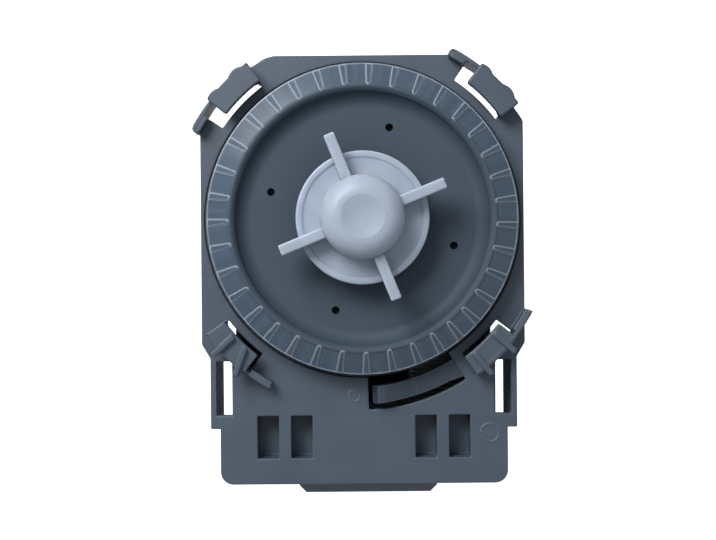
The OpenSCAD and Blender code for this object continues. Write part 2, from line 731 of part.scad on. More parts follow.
module impeller() color(natural_white) {
  lip_w = 1.3;
  lip_h = 0.4;
  dish_r = 18;
  dish_depth = 0.6;
  blade_root = hub_r - 1.2;
  difference() {
    union() {
      rotate_extrude() {
        hub_profile();
        translate([0, back_disc_h]) square([back_disc_r, back_disc_t]);
        translate([back_disc_r - lip_w, back_disc_h]) square([lip_w, back_disc_t + lip_h]);
      }
      for (k = [0:3]) rotate([0, 0, blade_phase + 90 * k])
        translate([(blade_root + blade_r) / 2, 0, back_disc_h]) linear_extrude(blade_top - back_disc_h)
          rounded_rect(blade_r - blade_root, blade_t, blade_corner_r);
    }
    translate([0, 0, back_disc_h - 1]) cylinder(r = hub_bore_r, h = hub_ceiling - back_disc_h + 1);
    translate([0, 0, hub_ceiling - 1]) cylinder(r = bore_r, h = shaft_front - hub_ceiling + 1.2);
    // Shallow dish in the hub's top
    translate([0, 0, hub_top + dish_r - dish_depth]) sphere(r = dish_r);
  }
  sector(dog_hub_r + body_gap, hub_bore_r + 0.5, blade_phase - stop_angle / 2, blade_phase + stop_angle / 2,
    hub_floor + 0.1, hub_ceiling + 0.3);
}

module hub_cover() color(natural_white) ring(bore_r, hub_bore_r, back_disc_h - 0.3, hub_floor);

// Half of the split core: pole shoe round the can, leg and dovetail for the yoke
module pole_outline(step_up) {
  inner = 5;
  difference() {
    union() {
      translate([inner, shoe_bottom]) square([core_w / 2 - inner, can_r - shoe_bottom + 0.5]);
      translate([leg_x - leg_w / 2, yoke_top]) square([leg_w, shoe_bottom - yoke_top + 1]);
      dovetail();
    }
    circle(r = pole_r);
    // Wider gap over half of the pole face, which gives the rotor its resting angle
    intersection() {
      circle(r = pole_r + 0.6);
      translate([0, step_up ? 0 : -core_w]) square(core_w);
    }
    translate([screw_x, screw_y]) circle(r = screw_hole_r);
  }
}

module dovetail() {
  polygon([[leg_x - dovetail_neck / 2, yoke_top + eps], [leg_x - dovetail_wide / 2, yoke_top - dovetail_l],
    [leg_x + dovetail_wide / 2, yoke_top - dovetail_l], [leg_x + dovetail_neck / 2, yoke_top + eps]]);
}

module core_pole_right() color(steel) translate([0, 0, core_back])
  linear_extrude(stack_l) pole_outline(true);

module core_pole_left() color(steel) translate([0, 0, core_back])
  linear_extrude(stack_l) mirror([1, 0]) pole_outline(false);

module core_yoke() color(steel) translate([0, 0, core_back]) linear_extrude(stack_l) difference() {
  translate([-core_w / 2, -yoke_bottom]) square([core_w, yoke_h]);
  dovetail();
  mirror([1, 0]) dovetail();
}

module core_screws() color(steel) for (s = [-1, 1]) translate([s * screw_x, screw_y, core_back]) {
  translate([0, 0, -screw_head_h]) difference() {
    cylinder(r = screw_head_r, h = screw_head_h);
    translate([0, 0, -1]) cylinder(r = screw_head_r / 2, h = screw_head_h, $fn = 6);
  }
  translate([0, 0, -0.1]) cylinder(r = screw_r, h = stack_l + screw_depth);
}

module bobbin(side) {
  coil_l = coil_top - coil_bottom;
  translate([side * leg_x, 0, -stack_depth]) difference() {
    union() {
      along_y(coil_bottom, coil_top) rounded_rect(2 * bobbin_x, 2 * bobbin_z, 0.8);
      for (y = [coil_bottom, coil_top - bobbin_flange]) along_y(y, y + bobbin_flange)
        rounded_rect(2 * (bobbin_x + flange_over), 2 * (bobbin_z + flange_over), 2.5);
    }
    along_y(coil_bottom - 1, coil_top + 1)
      square([leg_w + 2 * bobbin_gap, stack_l + 2 * bobbin_gap], center = true);
  }
}

// A closed band round the bobbin, from one build-up to the next
module coil_band(side, t0, t1) {
  translate([side * leg_x, 0, -stack_depth])
    along_y(coil_bottom + bobbin_flange + 0.05, coil_top - bobbin_flange - 0.05) difference() {
      rounded_rect(2 * (bobbin_x + t1), 2 * (bobbin_z + t1), 0.8 + t1);
      rounded_rect(2 * (bobbin_x + t0), 2 * (bobbin_z + t0), 0.8 + t0);
    }
}

module bobbin_left() color(bobbin_black) bobbin(-1);
module bobbin_right() color(bobbin_black) bobbin(1);
module winding_left() color(copper) coil_band(-1, 0, winding_t);
module winding_right() color(copper) coil_band(1, 0, winding_t);
module coil_tape_left() color(tape_black) coil_band(-1, winding_t, winding_t + tape_t);
module coil_tape_right() color(tape_black) coil_band(1, winding_t, winding_t + tape_t);

module thermal_fuse() color(steel) {
  fuse_r = 1.9;
  fuse_l = 11;
  lead_r = 0.5;
  lead_l = 3;
  translate([-leg_x + bobbin_x + winding_t + tape_t + fuse_r + 0.1, (coil_bottom + coil_top - fuse_l) / 2,
    -stack_depth]) rotate([-90, 0, 0]) {
      cylinder(r = fuse_r, h = fuse_l);
      translate([0, 0, -lead_l]) cylinder(r = lead_r, h = fuse_l + 2 * lead_l, $fn = 24);
    }
}

module connector_outline(w, chamfer) {
  polygon([[-w / 2, conn_top], [-w / 2, -conn_bottom + chamfer], [-w / 2 + chamfer, -conn_bottom],
    [w / 2 - chamfer, -conn_bottom], [w / 2, -conn_bottom + chamfer], [w / 2, conn_top]]);
}

module connector_housing() color(bobbin_black) difference() {
  union() {
    translate([conn_x, 0, conn_back]) linear_extrude(conn_h) connector_outline(conn_w, 1.7);
    // Flanges caught behind the cover's wall
    block(conn_x - conn_w / 2 - 1.8, conn_x + conn_w / 2 + 1.8, cover_bottom + cover_wall + 0.2, conn_top,
      conn_back + 1, conn_front - 1);
    // Catch for the plug's latch
    translate([conn_x - catch_w / 2, 0, 0]) rotate([90, 0, 90]) linear_extrude(catch_w)
      polygon([[-conn_bottom + 1, conn_back + 0.5], [-conn_bottom + 1, conn_back],
        [-conn_bottom + 3.4, conn_back - 1.2], [-conn_bottom + 3.4, conn_back + 0.5]]);
  }
  block(conn_x - conn_w / 2 + conn_wall, conn_x + conn_w / 2 - conn_wall, -conn_bottom - 1, conn_floor,
    conn_back + conn_wall, conn_front - conn_wall);
  terminals();
}

module terminals() {
  for (s = [-1, 1]) translate([conn_x + s * tab_x, 0, conn_mid]) {
    translate([0, 0, -tab_t / 2]) linear_extrude(tab_t)
      polygon([[-tab_w / 2, conn_top - 0.4], [-tab_w / 2, -conn_bottom + 2],
        [-tab_w / 2 + 1, -conn_bottom + 1], [tab_w / 2 - 1, -conn_bottom + 1],
        [tab_w / 2, -conn_bottom + 2], [tab_w / 2, conn_top - 0.4]]);
    block(-0.6, 0.6, conn_top - 1.2, conn_top - 0.4, conn_back - conn_mid - 2.5, 0);
  }
}

module terminal_tabs() color(brass) terminals();

module cover_outline(inset) {
  h = cover_top - cover_bottom - 2 * inset;
  translate([0, (cover_top + cover_bottom) / 2]) rounded_rect(2 * (cover_x - inset), h, 3 - inset);
}

module snap_hook() {
  translate([0, snap_w / 2, 0]) rotate([90, 0, 0]) linear_extrude(snap_w)
    polygon([[-0.5, snap_z], [1, snap_z], [1, snap_z + 0.5], [-0.5, snap_z + snap_rise]]);
}

module rear_cover() color(plastic_grey) {
  side_reach = box_w / 2 - skirt_t - cover_x;
  bottom_reach = plate_bottom - skirt_t + cover_bottom;
  difference() {
    translate([0, 0, -cover_depth]) linear_extrude(cover_depth + cover_front) cover_outline(0);
    translate([0, 0, -cover_depth + cover_wall]) linear_extrude(cover_depth) cover_outline(cover_wall);
    // Notches for the two legs of the core
    for (s = [-1, 1]) block(s * leg_x - leg_w / 2 - 0.5, s * leg_x + leg_w / 2 + 0.5,
      cover_top - cover_wall - 1, cover_top + 1, core_back - 0.5, 1);
    // Notch for the connector
    block(conn_x - conn_w / 2 - fit_gap, conn_x + conn_w / 2 + fit_gap,
      cover_bottom - 1, cover_bottom + cover_wall + 0.1, conn_back - fit_gap, 1);
  }
  for (s = [-1, 1]) {
    translate([s * cover_x, -snap_side_y, 0]) mirror([s > 0 ? 0 : 1, 0, 0]) {
      block(-1, side_reach, -snap_w / 2, snap_w / 2, snap_z - snap_arm_t, snap_z + 0.3);
      translate([side_reach, 0, 0]) snap_hook();
    }
    translate([s * snap_bottom_x, cover_bottom, 0]) rotate([0, 0, -90]) {
      block(-1, bottom_reach, -snap_w / 2, snap_w / 2, snap_z - snap_arm_t, snap_z + 0.3);
      translate([bottom_reach, 0, 0]) snap_hook();
    }
    // Ribs that press the yoke on its posts
    block(s * leg_x - 1, s * leg_x + 1, -yoke_bottom + 1, yoke_top - 1,
      -cover_depth + cover_wall - eps, core_back);
  }
}

mounting_plate();
lock_tongue();
chamber_disc();
seal_ring();
bearing_bracket();
front_bearing();
front_bearing_rubber();
rear_bearing();
rear_bearing_rubber();
front_thrust_washer();
rear_thrust_washer();
rotor_shaft();
rotor_magnet();
magnet_carrier();
drive_dog();
dog_buffer();
impeller();
hub_cover();
core_pole_left();
core_pole_right();
core_yoke();
core_screws();
bobbin_left();
bobbin_right();
winding_left();
winding_right();
coil_tape_left();
coil_tape_right();
thermal_fuse();
connector_housing();
terminal_tabs();
rear_cover();
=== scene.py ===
import json
from math import acos, atan2, cos, pi, radians, sin, sqrt, tan

import bmesh
import bpy
from bpy.props import FloatProperty, FloatVectorProperty, IntProperty, PointerProperty
from bpy.types import Operator, Panel, PropertyGroup
from mathutils import Matrix, Vector


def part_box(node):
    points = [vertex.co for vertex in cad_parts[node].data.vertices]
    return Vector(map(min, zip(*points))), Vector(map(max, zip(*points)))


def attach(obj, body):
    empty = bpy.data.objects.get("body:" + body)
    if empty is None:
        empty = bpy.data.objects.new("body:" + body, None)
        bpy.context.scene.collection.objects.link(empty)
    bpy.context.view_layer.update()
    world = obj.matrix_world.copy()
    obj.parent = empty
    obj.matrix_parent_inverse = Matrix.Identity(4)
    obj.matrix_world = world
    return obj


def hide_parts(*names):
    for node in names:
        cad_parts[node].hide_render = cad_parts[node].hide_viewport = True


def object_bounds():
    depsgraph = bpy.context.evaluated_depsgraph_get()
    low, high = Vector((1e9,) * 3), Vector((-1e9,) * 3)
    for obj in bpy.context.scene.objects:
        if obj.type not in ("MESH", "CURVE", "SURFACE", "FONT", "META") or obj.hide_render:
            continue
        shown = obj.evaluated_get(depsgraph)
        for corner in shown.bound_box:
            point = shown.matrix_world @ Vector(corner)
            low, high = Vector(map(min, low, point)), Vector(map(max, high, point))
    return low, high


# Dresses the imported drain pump: moulded parts get rounded edges, the chamber disc is turned afresh with its
# ribs set round it, the core is stacked from sheets, and every piece gets the finish of its real material.
# Lengths are in metres. Sections, names that end in _mm and numbers that MM multiplies are in millimetres.

bl_info = {
    "name": "Drain Pump",
    "version": (1, 0, 0),
    "blender": (4, 5, 0),
    "location": "View3D > Sidebar > Drain Pump",
    "description": "Builds the looks of a bayonet drain pump round its packed model",
    "category": "Object",
}

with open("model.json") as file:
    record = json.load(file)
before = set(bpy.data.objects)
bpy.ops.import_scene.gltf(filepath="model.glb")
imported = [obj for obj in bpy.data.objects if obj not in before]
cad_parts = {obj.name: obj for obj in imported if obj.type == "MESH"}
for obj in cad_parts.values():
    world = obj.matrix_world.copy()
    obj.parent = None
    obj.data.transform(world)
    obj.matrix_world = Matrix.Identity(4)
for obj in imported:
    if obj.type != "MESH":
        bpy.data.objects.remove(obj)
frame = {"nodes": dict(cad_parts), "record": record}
CAD_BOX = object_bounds()
MM = 0.001

# Which body each piece of the pump rides on
BODY_OF = {node: body for body, nodes in frame["record"]["behaviour"]["bodies"].items() for node in nodes}


def linear(hex_colour):
    """An sRGB hex colour as linear red, green, blue and alpha."""
    parts = [int(hex_colour[i:i + 2], 16) / 255 for i in (1, 3, 5)]
    return tuple(c / 12.92 if c <= 0.04045 else ((c + 0.055) / 1.055) ** 2.4 for c in parts) + (1.0,)


def colour_size(name, description, hex_colour):
    return FloatVectorProperty(
        name=name, description=description, default=linear(hex_colour), size=4, min=0, max=1, subtype="COLOR")


def length_size(name, description, millimetres, low, high):
    return FloatProperty(
        name=name, description=description, default=millimetres * MM, min=low * MM, max=high * MM,
        precision=5, unit="LENGTH", subtype="DISTANCE")


def angle_size(name, description, degrees):
    return FloatProperty(
        name=name, description=description, default=radians(degrees), unit="ROTATION", subtype="ANGLE")


class PumpMouldingSizes(PropertyGroup):
    edge_round: length_size("Edge Round", "Rounding of the edges of the plate and covers", 0.28, 0.05, 0.6)
    fine_round: length_size("Fine Round", "Rounding of the bobbins and other small mouldings", 0.2, 0.05, 0.4)
    soft_round: length_size("Soft Round", "Radius over which plate edges catch the light", 0.45, 0.1, 0.8)
    root_reach: length_size("Root Reach", "How far the tongue's root comes up to the plate", 0.28, 0, 0.28)
    foot_reach: length_size("Foot Reach", "The same for the root's underside, which swings", 0.1, 0, 0.12)


class PumpPadSizes(PropertyGroup):
    pad_inner: length_size("Pad Inner Radius", "Inner radius of an upper hook's pad", 39.0, 38, 41)
    pad_outer: length_size("Pad Outer Radius", "Outer radius of an upper hook's pad", 44.24, 42, 46)
    pad_level: length_size("Pad Level", "Height of the pads above the plate", 5.08, 5, 5.4)
    pad_round: length_size("Pad Round", "Rounding of the pads' edges", 0.4, 0.1, 0.6)
    tail_width: length_size("Tail Width", "Thickness of the arm of a lower hook", 1.8, 0.9, 2.4)
    lobe_reach: length_size("Lobe Reach", "How far the two lobes stand out beyond the pad", 0.6, 0, 1)
    lobe_width: length_size("Lobe Width", "Width of a lobe at its foot", 4.0, 2, 6)


class PumpImpellerSizes(PropertyGroup):
    blade_count: IntProperty(
        name="Blades", description="Number of blades", default=4, min=2, max=8)
    blade_phase: angle_size("Blade Phase", "Angle of the first blade", 22)
    blade_width: length_size("Blade Width", "Thickness of a blade", 2.4, 1.5, 3)
    blade_round: length_size("Blade Round", "Rounding of a blade's edges", 0.35, 0.1, 0.6)
    lip_width: length_size("Lip Width", "Width of the low lip round the back disc", 1.3, 0.5, 2)


class PumpDiscSizes(PropertyGroup):
    rib_count: IntProperty(
        name="Rim Ribs", description="Number of ribs on the rim", default=36, min=12, max=60)
    rib_phase: angle_size("Rib Phase", "Angle of the first rim rib", 7)
    rib_shift: angle_size("Rib Shift", "How much further round the ribs of the rim's left half stand", 4)
    rib_tip_width: length_size("Rib Tip Width", "Width of a rim rib at its rounded inner tip", 0.9, 0.4, 1.4)
    rib_root_width: length_size("Rib Root Width", "Width of a rim rib at the outer edge", 1.5, 0.6, 2.2)
    rib_height: length_size("Rib Height", "Height of a rim rib above the cone", 0.34, 0.1, 0.45)
    crest_round: length_size("Crest Round", "Rounding of the rim's crest", 0.55, 0.1, 0.6)


class PumpCoreSizes(PropertyGroup):
    sheet_pitch: length_size("Sheet Pitch", "Distance from one steel sheet to the next", 0.5, 0.35, 2)
    sheet_groove: length_size("Sheet Groove", "Visible gap between two steel sheets", 0.07, 0.02, 0.2)


class PumpColours(PropertyGroup):
    plate: colour_size("Plate", "Blue-grey of the plate and covers", "#434e5b")
    # Painted shade: the tongue is the plate's plastic, coloured darker because it lies in the disc's shade
    tongue: colour_size("Tongue", "Darker blue-grey of the shaded tongue", "#2f3a46")
    disc: colour_size("Disc", "Blue-grey of the chamber disc", "#414e5c")
    impeller: colour_size("Impeller", "Natural white of the impeller", "#9da7b5")
    connector: colour_size("Connector", "Dark grey of the connector and bobbins", "#616870")
    rubber: colour_size("Rubber", "Black of the seal and the buffers", "#14161a")
    winding: colour_size("Winding", "Enamelled copper wire", "#a4522a")
    tape: colour_size("Tape", "Black polyester tape", "#0e121a")


class PumpStageSizes(PropertyGroup):
    camera_height: length_size("Camera Height", "Distance of the camera above the plate", 280, 150, 1500)
    lens: FloatProperty(
        name="Lens", description="Focal length of the camera in mm", default=61, min=20, max=200)
    key_power: FloatProperty(
        name="Key Power", description="Power of the large upper left light in W", default=2.8, min=0)
    room_light: FloatProperty(
        name="Room Light", description="Strength of the light from all round", default=0.55, min=0)


class PumpSettings(PropertyGroup):
    pads: PointerProperty(type=PumpPadSizes, name="Hook Pads")
    moulding: PointerProperty(type=PumpMouldingSizes, name="Mouldings")
    impeller: PointerProperty(type=PumpImpellerSizes, name="Impeller")
    disc: PointerProperty(type=PumpDiscSizes, name="Chamber Disc")
    core: PointerProperty(type=PumpCoreSizes, name="Core")
    colours: PointerProperty(type=PumpColours, name="Colours")
    stage: PointerProperty(type=PumpStageSizes, name="Stage")


def pump():
    """The pump's sizes and colours, as the scene keeps them."""
    return bpy.context.scene.drain_pump


# ---- Materials ----


def add_node(tree, kind, inputs=None, **settings):
    """Adds a node, sets its settings, then sets its inputs or links them; a node gives its first output."""
    made = tree.nodes.new(kind)
    for key, value in settings.items():
        setattr(made, key, value)
    for key, value in (inputs or {}).items():
        socket = made.inputs[key] if isinstance(key, int) else next(
            s for s in made.inputs if s.name == key and s.enabled)
        if isinstance(value, bpy.types.Node):
            value = next(s for s in value.outputs if s.enabled)
        if isinstance(value, bpy.types.NodeSocket):
            tree.links.new(value, socket)
        else:
            socket.default_value = value
    return made


def material(name, surface):
    """The material of that name, made once. surface sets up its nodes and gives its shader's values."""
    found = bpy.data.materials.get(name)
    if found:
        return found
    made = bpy.data.materials.new(name)
    made.use_nodes = True
    tree = made.node_tree
    tree.nodes.clear()
    place = add_node(tree, "ShaderNodeTexCoord").outputs["Object"]
    shader = add_node(tree, "ShaderNodeBsdfPrincipled", surface(tree, place))
    add_node(tree, "ShaderNodeOutputMaterial", {"Surface": shader})
    return made


def finish_named(name):
    """Turns a function that sets up a shader into one that gives the material of that name."""
    return lambda surface: lambda: material(name, surface)


def speckle(tree, place, millimetres, detail=3.0, rough=0.55):
    """Noise with grains of that size."""
    return add_node(tree, "ShaderNodeTexNoise", {
        "Vector": place, "Scale": 1 / (millimetres * MM), "Detail": detail, "Roughness": rough})


def streaks(tree, place, millimetres, squeeze, turn=0.0):
    """Noise of that width, drawn out along a line that stands at that angle to Y."""
    drawn = add_node(tree, "ShaderNodeMapping", {
        "Vector": place, "Rotation": (0, 0, turn), "Scale": (1, squeeze, 1)})
    return speckle(tree, drawn, millimetres, 2, 0.5)


def bands(tree, place, millimetres, direction, waver, detail):
    """Waves that far apart along that direction: the texture runs through 20 radians per unit."""
    return add_node(tree, "ShaderNodeTexWave", {
        "Vector": place, "Scale": 2 * pi / 20 / (millimetres * MM),
        "Distortion": waver, "Detail": detail}, bands_direction=direction).outputs["Fac"]


def blend_colours(tree, factor, first, second, start=0.3, end=0.7):
    """A colour that runs from one to the other, linear or hex, as factor goes from start to end."""
    ramp = add_node(tree, "ShaderNodeValToRGB", {"Fac": factor})
    for stop, position, colour in zip(ramp.color_ramp.elements, (start, end), (first, second)):
        stop.position, stop.color = position, linear(colour) if isinstance(colour, str) else colour
    return ramp


def shades(tree, factor, colour, dark, light, start=0.3, end=0.7):
    """The colour, from as dark to as light as given."""
    return blend_colours(tree, factor, tint(colour, dark), tint(colour, light), start, end)


def between(tree, factor, low, high, start=0.0, end=1.0):
    """A value that runs from low to high as factor goes from start to end, and stays there beyond."""
    return add_node(tree, "ShaderNodeMapRange", {
        "Value": factor, "From Min": start, "From Max": end, "To Min": low, "To Max": high})


def spread(tree, factor, low, high):
    """The same over the middle of a noise, where most of it lies."""
    return between(tree, factor, low, high, 0.3, 0.7)


def bumps(tree, height, depth_mm, under=None):
    """Normals of a surface whose height differs by that depth."""
    inputs = {"Height": height, "Distance": depth_mm * MM, "Strength": 1.0}
    if under is not None:
        inputs["Normal"] = under
    return add_node(tree, "ShaderNodeBump", inputs)


def round_edges(tree, radius_mm):
    """Normals that run round the piece's edges, as a mould's cutter leaves them."""
    return add_node(tree, "ShaderNodeBevel", {"Radius": radius_mm * MM}, samples=4)


def sum_of(tree, operation, *values):
    """The result of a sum of that kind, as the node tree reckons it."""
    return add_node(tree, "ShaderNodeMath", dict(enumerate(values)), operation=operation)


def times(tree, first, second):
    return sum_of(tree, "MULTIPLY", first, second)


def mixed(tree, factor, first, second):
    """The first colour, with the second laid over it as strongly as factor says."""
    return add_node(tree, "ShaderNodeMix", {"Factor": factor, "A": first, "B": second}, data_type="RGBA")


def painted_edge_highlight(tree, radius_mm, where, full_at):
    """How much a painted highlight lightens a spot near an edge: as where says, once its rounded normal turns
    past full_at.
    """
    rounded = add_node(tree, "ShaderNodeBevel", {"Radius": radius_mm * MM}, samples=6)
    flat = add_node(tree, "ShaderNodeNewGeometry").outputs["True Normal"]
    alike = add_node(tree, "ShaderNodeVectorMath", {0: rounded, 1: flat}, operation="DOT_PRODUCT")
    return times(tree, between(tree, alike, 0.0, 1.0, 0.995, full_at), where)


def tint(colour, factor):
    """The colour made darker or lighter by that factor."""
    return tuple(min(1.0, c * factor) for c in colour[:3]) + (1.0,)


def plate_plastic(name="moulded_polypropylene_grained", colour=None, soft_mm=None):
    """Glass-filled polypropylene from a spark-eroded mould: satin, finely grained, with faint flow clouds."""
    colour = colour or pump().colours.plate
    soft_mm = soft_mm or pump().moulding.soft_round / MM

    def surface(tree, place):
        edges = round_edges(tree, soft_mm)
        # Painted highlight: sharp edges are lightened toward pale grey, whatever the light
        edge_highlight = painted_edge_highlight(tree, 0.3, 0.35, 0.85)
        clouds = speckle(tree, place, 14, 4)
        # The mould's grain is 0.05 mm; it is drawn at 0.22 mm so that it shows in the render
        grain = speckle(tree, place, 0.22, 2)
        scuffs = streaks(tree, place, 1.1111, 0.08, 0.5)
        base = shades(tree, clouds, colour, 0.92, 1.08)
        return {
            "Base Color": mixed(tree, edge_highlight, base, linear("#8b95a2")),
            "Roughness": spread(tree, clouds, 0.44, 0.52),
            "IOR": 1.49,
            "Normal": bumps(tree, grain, 0.008, bumps(tree, scuffs, 0.003, edges)),
        }
    return material(name, surface)


@finish_named("moulded_polypropylene_disc")
def disc_plastic(tree, place):
    """The same polypropylene: matt in the chamber, polished on the rim, with painted shade in the chamber and
    its holes and painted highlights on the rim and rib edges.
    """
    colour = pump().colours.disc
    # Where the rim's gloss begins and is full, where the ribs begin, and where the floor's holes lie
    matt_to, gloss_from, ribs_from, holes_within, holes_above, holes_below = 30.2, 30.7, 29.9, 24, 2.55, 4.96

    def where(value, operation, limit_mm):
        return sum_of(tree, operation, value, limit_mm * MM)

    clouds = speckle(tree, place, 11, 4)
    split = add_node(tree, "ShaderNodeSeparateXYZ", {"Vector": place}).outputs
    flat = add_node(tree, "ShaderNodeCombineXYZ", {"X": split["X"], "Y": split["Y"]})
    radius = add_node(tree, "ShaderNodeVectorMath", {0: flat}, operation="LENGTH")
    rim = between(tree, radius, 0.0, 1.0, matt_to * MM, gloss_from * MM)
    # Painted highlight streaks run outward over the rim, so their noise follows the angle alone
    angle = sum_of(tree, "ARCTAN2", split["Y"], split["X"])
    marks = add_node(tree, "ShaderNodeTexNoise", {
        "W": angle, "Scale": 16.0, "Detail": 3.0, "Roughness": 0.6}, noise_dimensions="1D")
    # Painted highlight: the rib edges are lightened toward pale grey-blue, whatever the light
    edge_highlight = painted_edge_highlight(tree, 0.4, where(radius, "GREATER_THAN", ribs_from), 0.95)
    base = shades(tree, clouds, colour, 0.94, 1.06)
    rim_sheen_streaked = mixed(tree, times(tree, spread(tree, marks, 0.0, 0.3), rim), base, tint(colour, 2.0))
    # Painted shade: within the rim the chamber's colour is darkened to 0.8 of the disc's
    chamber = mixed(tree, rim, tint(colour, 0.8), rim_sheen_streaked)
    # Painted shade: the floor's four holes are coloured near black, so that they give no light back
    depth = times(tree, where(split["Z"], "GREATER_THAN", holes_above),
                  where(split["Z"], "LESS_THAN", holes_below))
    painted_hole_shade = times(tree, depth, where(radius, "LESS_THAN", holes_within))
    return {
        "Base Color": mixed(tree, painted_hole_shade, mixed(tree, edge_highlight, chamber, linear("#8f9aa8")), linear("#05080e")),
        "Roughness": between(tree, rim, 0.58, 0.26),
        "IOR": 1.49,
        "Specular IOR Level": between(tree, rim, 0.3, 0.5),
    }


@finish_named("natural_acetal_moulded")
def impeller_plastic(tree, place):
    """Unfilled polyoxymethylene, natural: milky, light sinks in a little way, with a soft sheen."""
    colour = pump().colours.impeller
    clouds = speckle(tree, place, 6, 3)
    flow = speckle(tree, place, 0.9, 2)
    return {
        "Base Color": shades(tree, clouds, colour, 0.95, 1.05),
        "Roughness": spread(tree, flow, 0.4, 0.48),
        "IOR": 1.48,
        "Subsurface Weight": 0.8,
        "Subsurface Radius": (1.0, 1.0, 1.0),
        "Subsurface Scale": 3.0 * MM,
        "Normal": bumps(tree, flow, 0.005),
    }


@finish_named("glass_filled_polyamide")
def connector_plastic(tree, place):
    """Glass-filled polyamide, moulded: dark grey and matt, mottled where the glass lies near the skin."""
    colour = pump().colours.connector
    edges = round_edges(tree, pump().moulding.fine_round / MM)
    glass = speckle(tree, place, 1.1, 4, 0.65)
    grain = speckle(tree, place, 0.2, 2)
    return {
        "Base Color": shades(tree, glass, colour, 0.85, 1.25),
        "Roughness": spread(tree, glass, 0.42, 0.56),
        "IOR": 1.53,
        "Normal": bumps(tree, grain, 0.01, edges),
    }


@finish_named("nitrile_rubber_moulded")
def seal_rubber(tree, place):
    """Nitrile rubber, compression moulded: very dark, dull, with a dusty bloom in patches."""
    colour = pump().colours.rubber
    bloom = speckle(tree, place, 2.5, 5, 0.6)
    return {
        "Base Color": blend_colours(tree, bloom, colour, tint(colour, 2.2), 0.45, 0.8),
        "Roughness": spread(tree, bloom, 0.55, 0.72),
        "IOR": 1.52,
        "Sheen Weight": 0.15,
        "Normal": bumps(tree, speckle(tree, place, 0.3, 2), 0.01),
    }


@finish_named("sintered_alumina")
def bush_ceramic(tree, place):
    """Aluminium oxide, sintered and ground: warm white with fine dark pores."""
    pores = speckle(tree, place, 0.25, 4, 0.7)
    return {
        "Base Color": blend_colours(tree, pores, "#b9b2a4", "#e9e5da", 0.28, 0.45),
        "Roughness": spread(tree, pores, 0.5, 0.3),
        "IOR": 1.76,
        "Normal": bumps(tree, pores, 0.008),
    }


@finish_named("sintered_ferrite")
def magnet_ferrite(tree, place):
    """Strontium ferrite, sintered and ground: charcoal grey, sparkling faintly, with grinding lines."""
    grit = speckle(tree, place, 0.35, 4, 0.7)
    lines = bands(tree, place, 0.748, "Z", 2.0, 2.0)
    return {
        "Base Color": blend_colours(tree, grit, "#222326", "#4a4b4e"),
        "Metallic": 0.15,
        "Roughness": spread(tree, grit, 0.42, 0.58),
        "Normal": bumps(tree, lines, 0.006, bumps(tree, grit, 0.01)),
    }


@finish_named("silicon_steel_sheet")
def core_sheet(tree, place):
    """Silicon steel sheet, punched, with its blue-grey oxide coat: dull metal with brighter cut edges."""
    coat = speckle(tree, place, 3, 4)
    cut = speckle(tree, place, 0.4, 3, 0.7)
    return {
        "Base Color": blend_colours(tree, coat, "#6a7077", "#7b8188"),
        "Metallic": 0.85,
        "Roughness": spread(tree, cut, 0.4, 0.48),
        "Normal": bumps(tree, cut, 0.004),
    }


@finish_named("ground_stainless_steel")
def turned_steel(tree, place):
    """Stainless steel, turned and ground: bright with fine rings along its length."""
    rings = bands(tree, place, 0.4488, "Z", 0.6, 1.0)
    haze = speckle(tree, place, 1.2, 3)
    return {
        "Base Color": blend_colours(tree, haze, "#a5a9ad", "#c4c7ca"),
        "Metallic": 1.0,
        "Roughness": spread(tree, haze, 0.2, 0.3),
        "Normal": bumps(tree, rings, 0.003),
    }


@finish_named("zinc_plated_steel")
def plated_steel(tree, place):
    """Steel, zinc plated: cool bright grey with a cloudy passivated skin."""
    spangle = speckle(tree, place, 0.8, 4, 0.6)
    return {
        "Base Color": blend_colours(tree, spangle, "#8d949b", "#c2c8cd"),
        "Metallic": 1.0,
        "Roughness": spread(tree, spangle, 0.28, 0.42),
        "Normal": bumps(tree, spangle, 0.004),
    }


@finish_named("enamelled_copper_wire")
def winding_copper(tree, place):
    """Enamelled copper wire, wound: turns of 0.35 mm wire side by side, drawn at 1 mm to show."""
    colour = pump().colours.winding
    turns = bands(tree, place, 1.0, "Y", 0.15, 1.0)
    return {
        "Base Color": shades(tree, turns, colour, 0.35, 1.15, 0.1, 0.7),
        "Metallic": 0.9,
        "Roughness": 0.3,
        "Coat Weight": 0.6,
        "Coat Roughness": 0.15,
        "Normal": bumps(tree, turns, 0.15),
    }


@finish_named("polyester_coil_tape")
def coil_tape(tree, place):
    """Polyester tape, wound on tight: black and glossy, with the wire's turns showing as low ridges."""
    colour = pump().colours.tape
    turns = bands(tree, place, 1.0, "Y", 0.8, 2.0)
    wrinkles = speckle(tree, place, 3, 4)
    return {
        "Base Color": shades(tree, wrinkles, colour, 0.8, 1.1),
        "Roughness": spread(tree, wrinkles, 0.22, 0.4),
        "IOR": 1.6,
        "Coat Weight": 0.1,
        "Normal": bumps(tree, turns, 0.02, bumps(tree, wrinkles, 0.05)),
    }


@finish_named("tinned_brass_strip")
def tab_brass(tree, place):
    """Brass strip, tinned and stamped: pale grey-gold with draw marks along the strip."""
    draw = streaks(tree, place, 0.4, 0.06)
    return {
        "Base Color": blend_colours(tree, draw, "#b5ab8c", "#d8d1bb"),
        "Metallic": 1.0,
        "Roughness": spread(tree, draw, 0.24, 0.36),
        "Normal": bumps(tree, draw, 0.004),
    }


@finish_named("opal_acrylic_light_table")
def floor_acrylic(tree, place):
    """Opal acrylic sheet of a light table, cast: matt white, seen evenly lit, with a faint mottle."""
    mottle = speckle(tree, place, 2, 4)
    return {
        "Base Color": blend_colours(tree, mottle, "#f0f0f0", "#f6f6f6"),
        "Roughness": 0.9,
        "IOR": 1.49,
        "Specular IOR Level": 0.1,
        "Emission Color": (1.0, 1.0, 1.0, 1.0),
        "Emission Strength": add_node(tree, "ShaderNodeLightPath").outputs["Is Camera Ray"],
    }


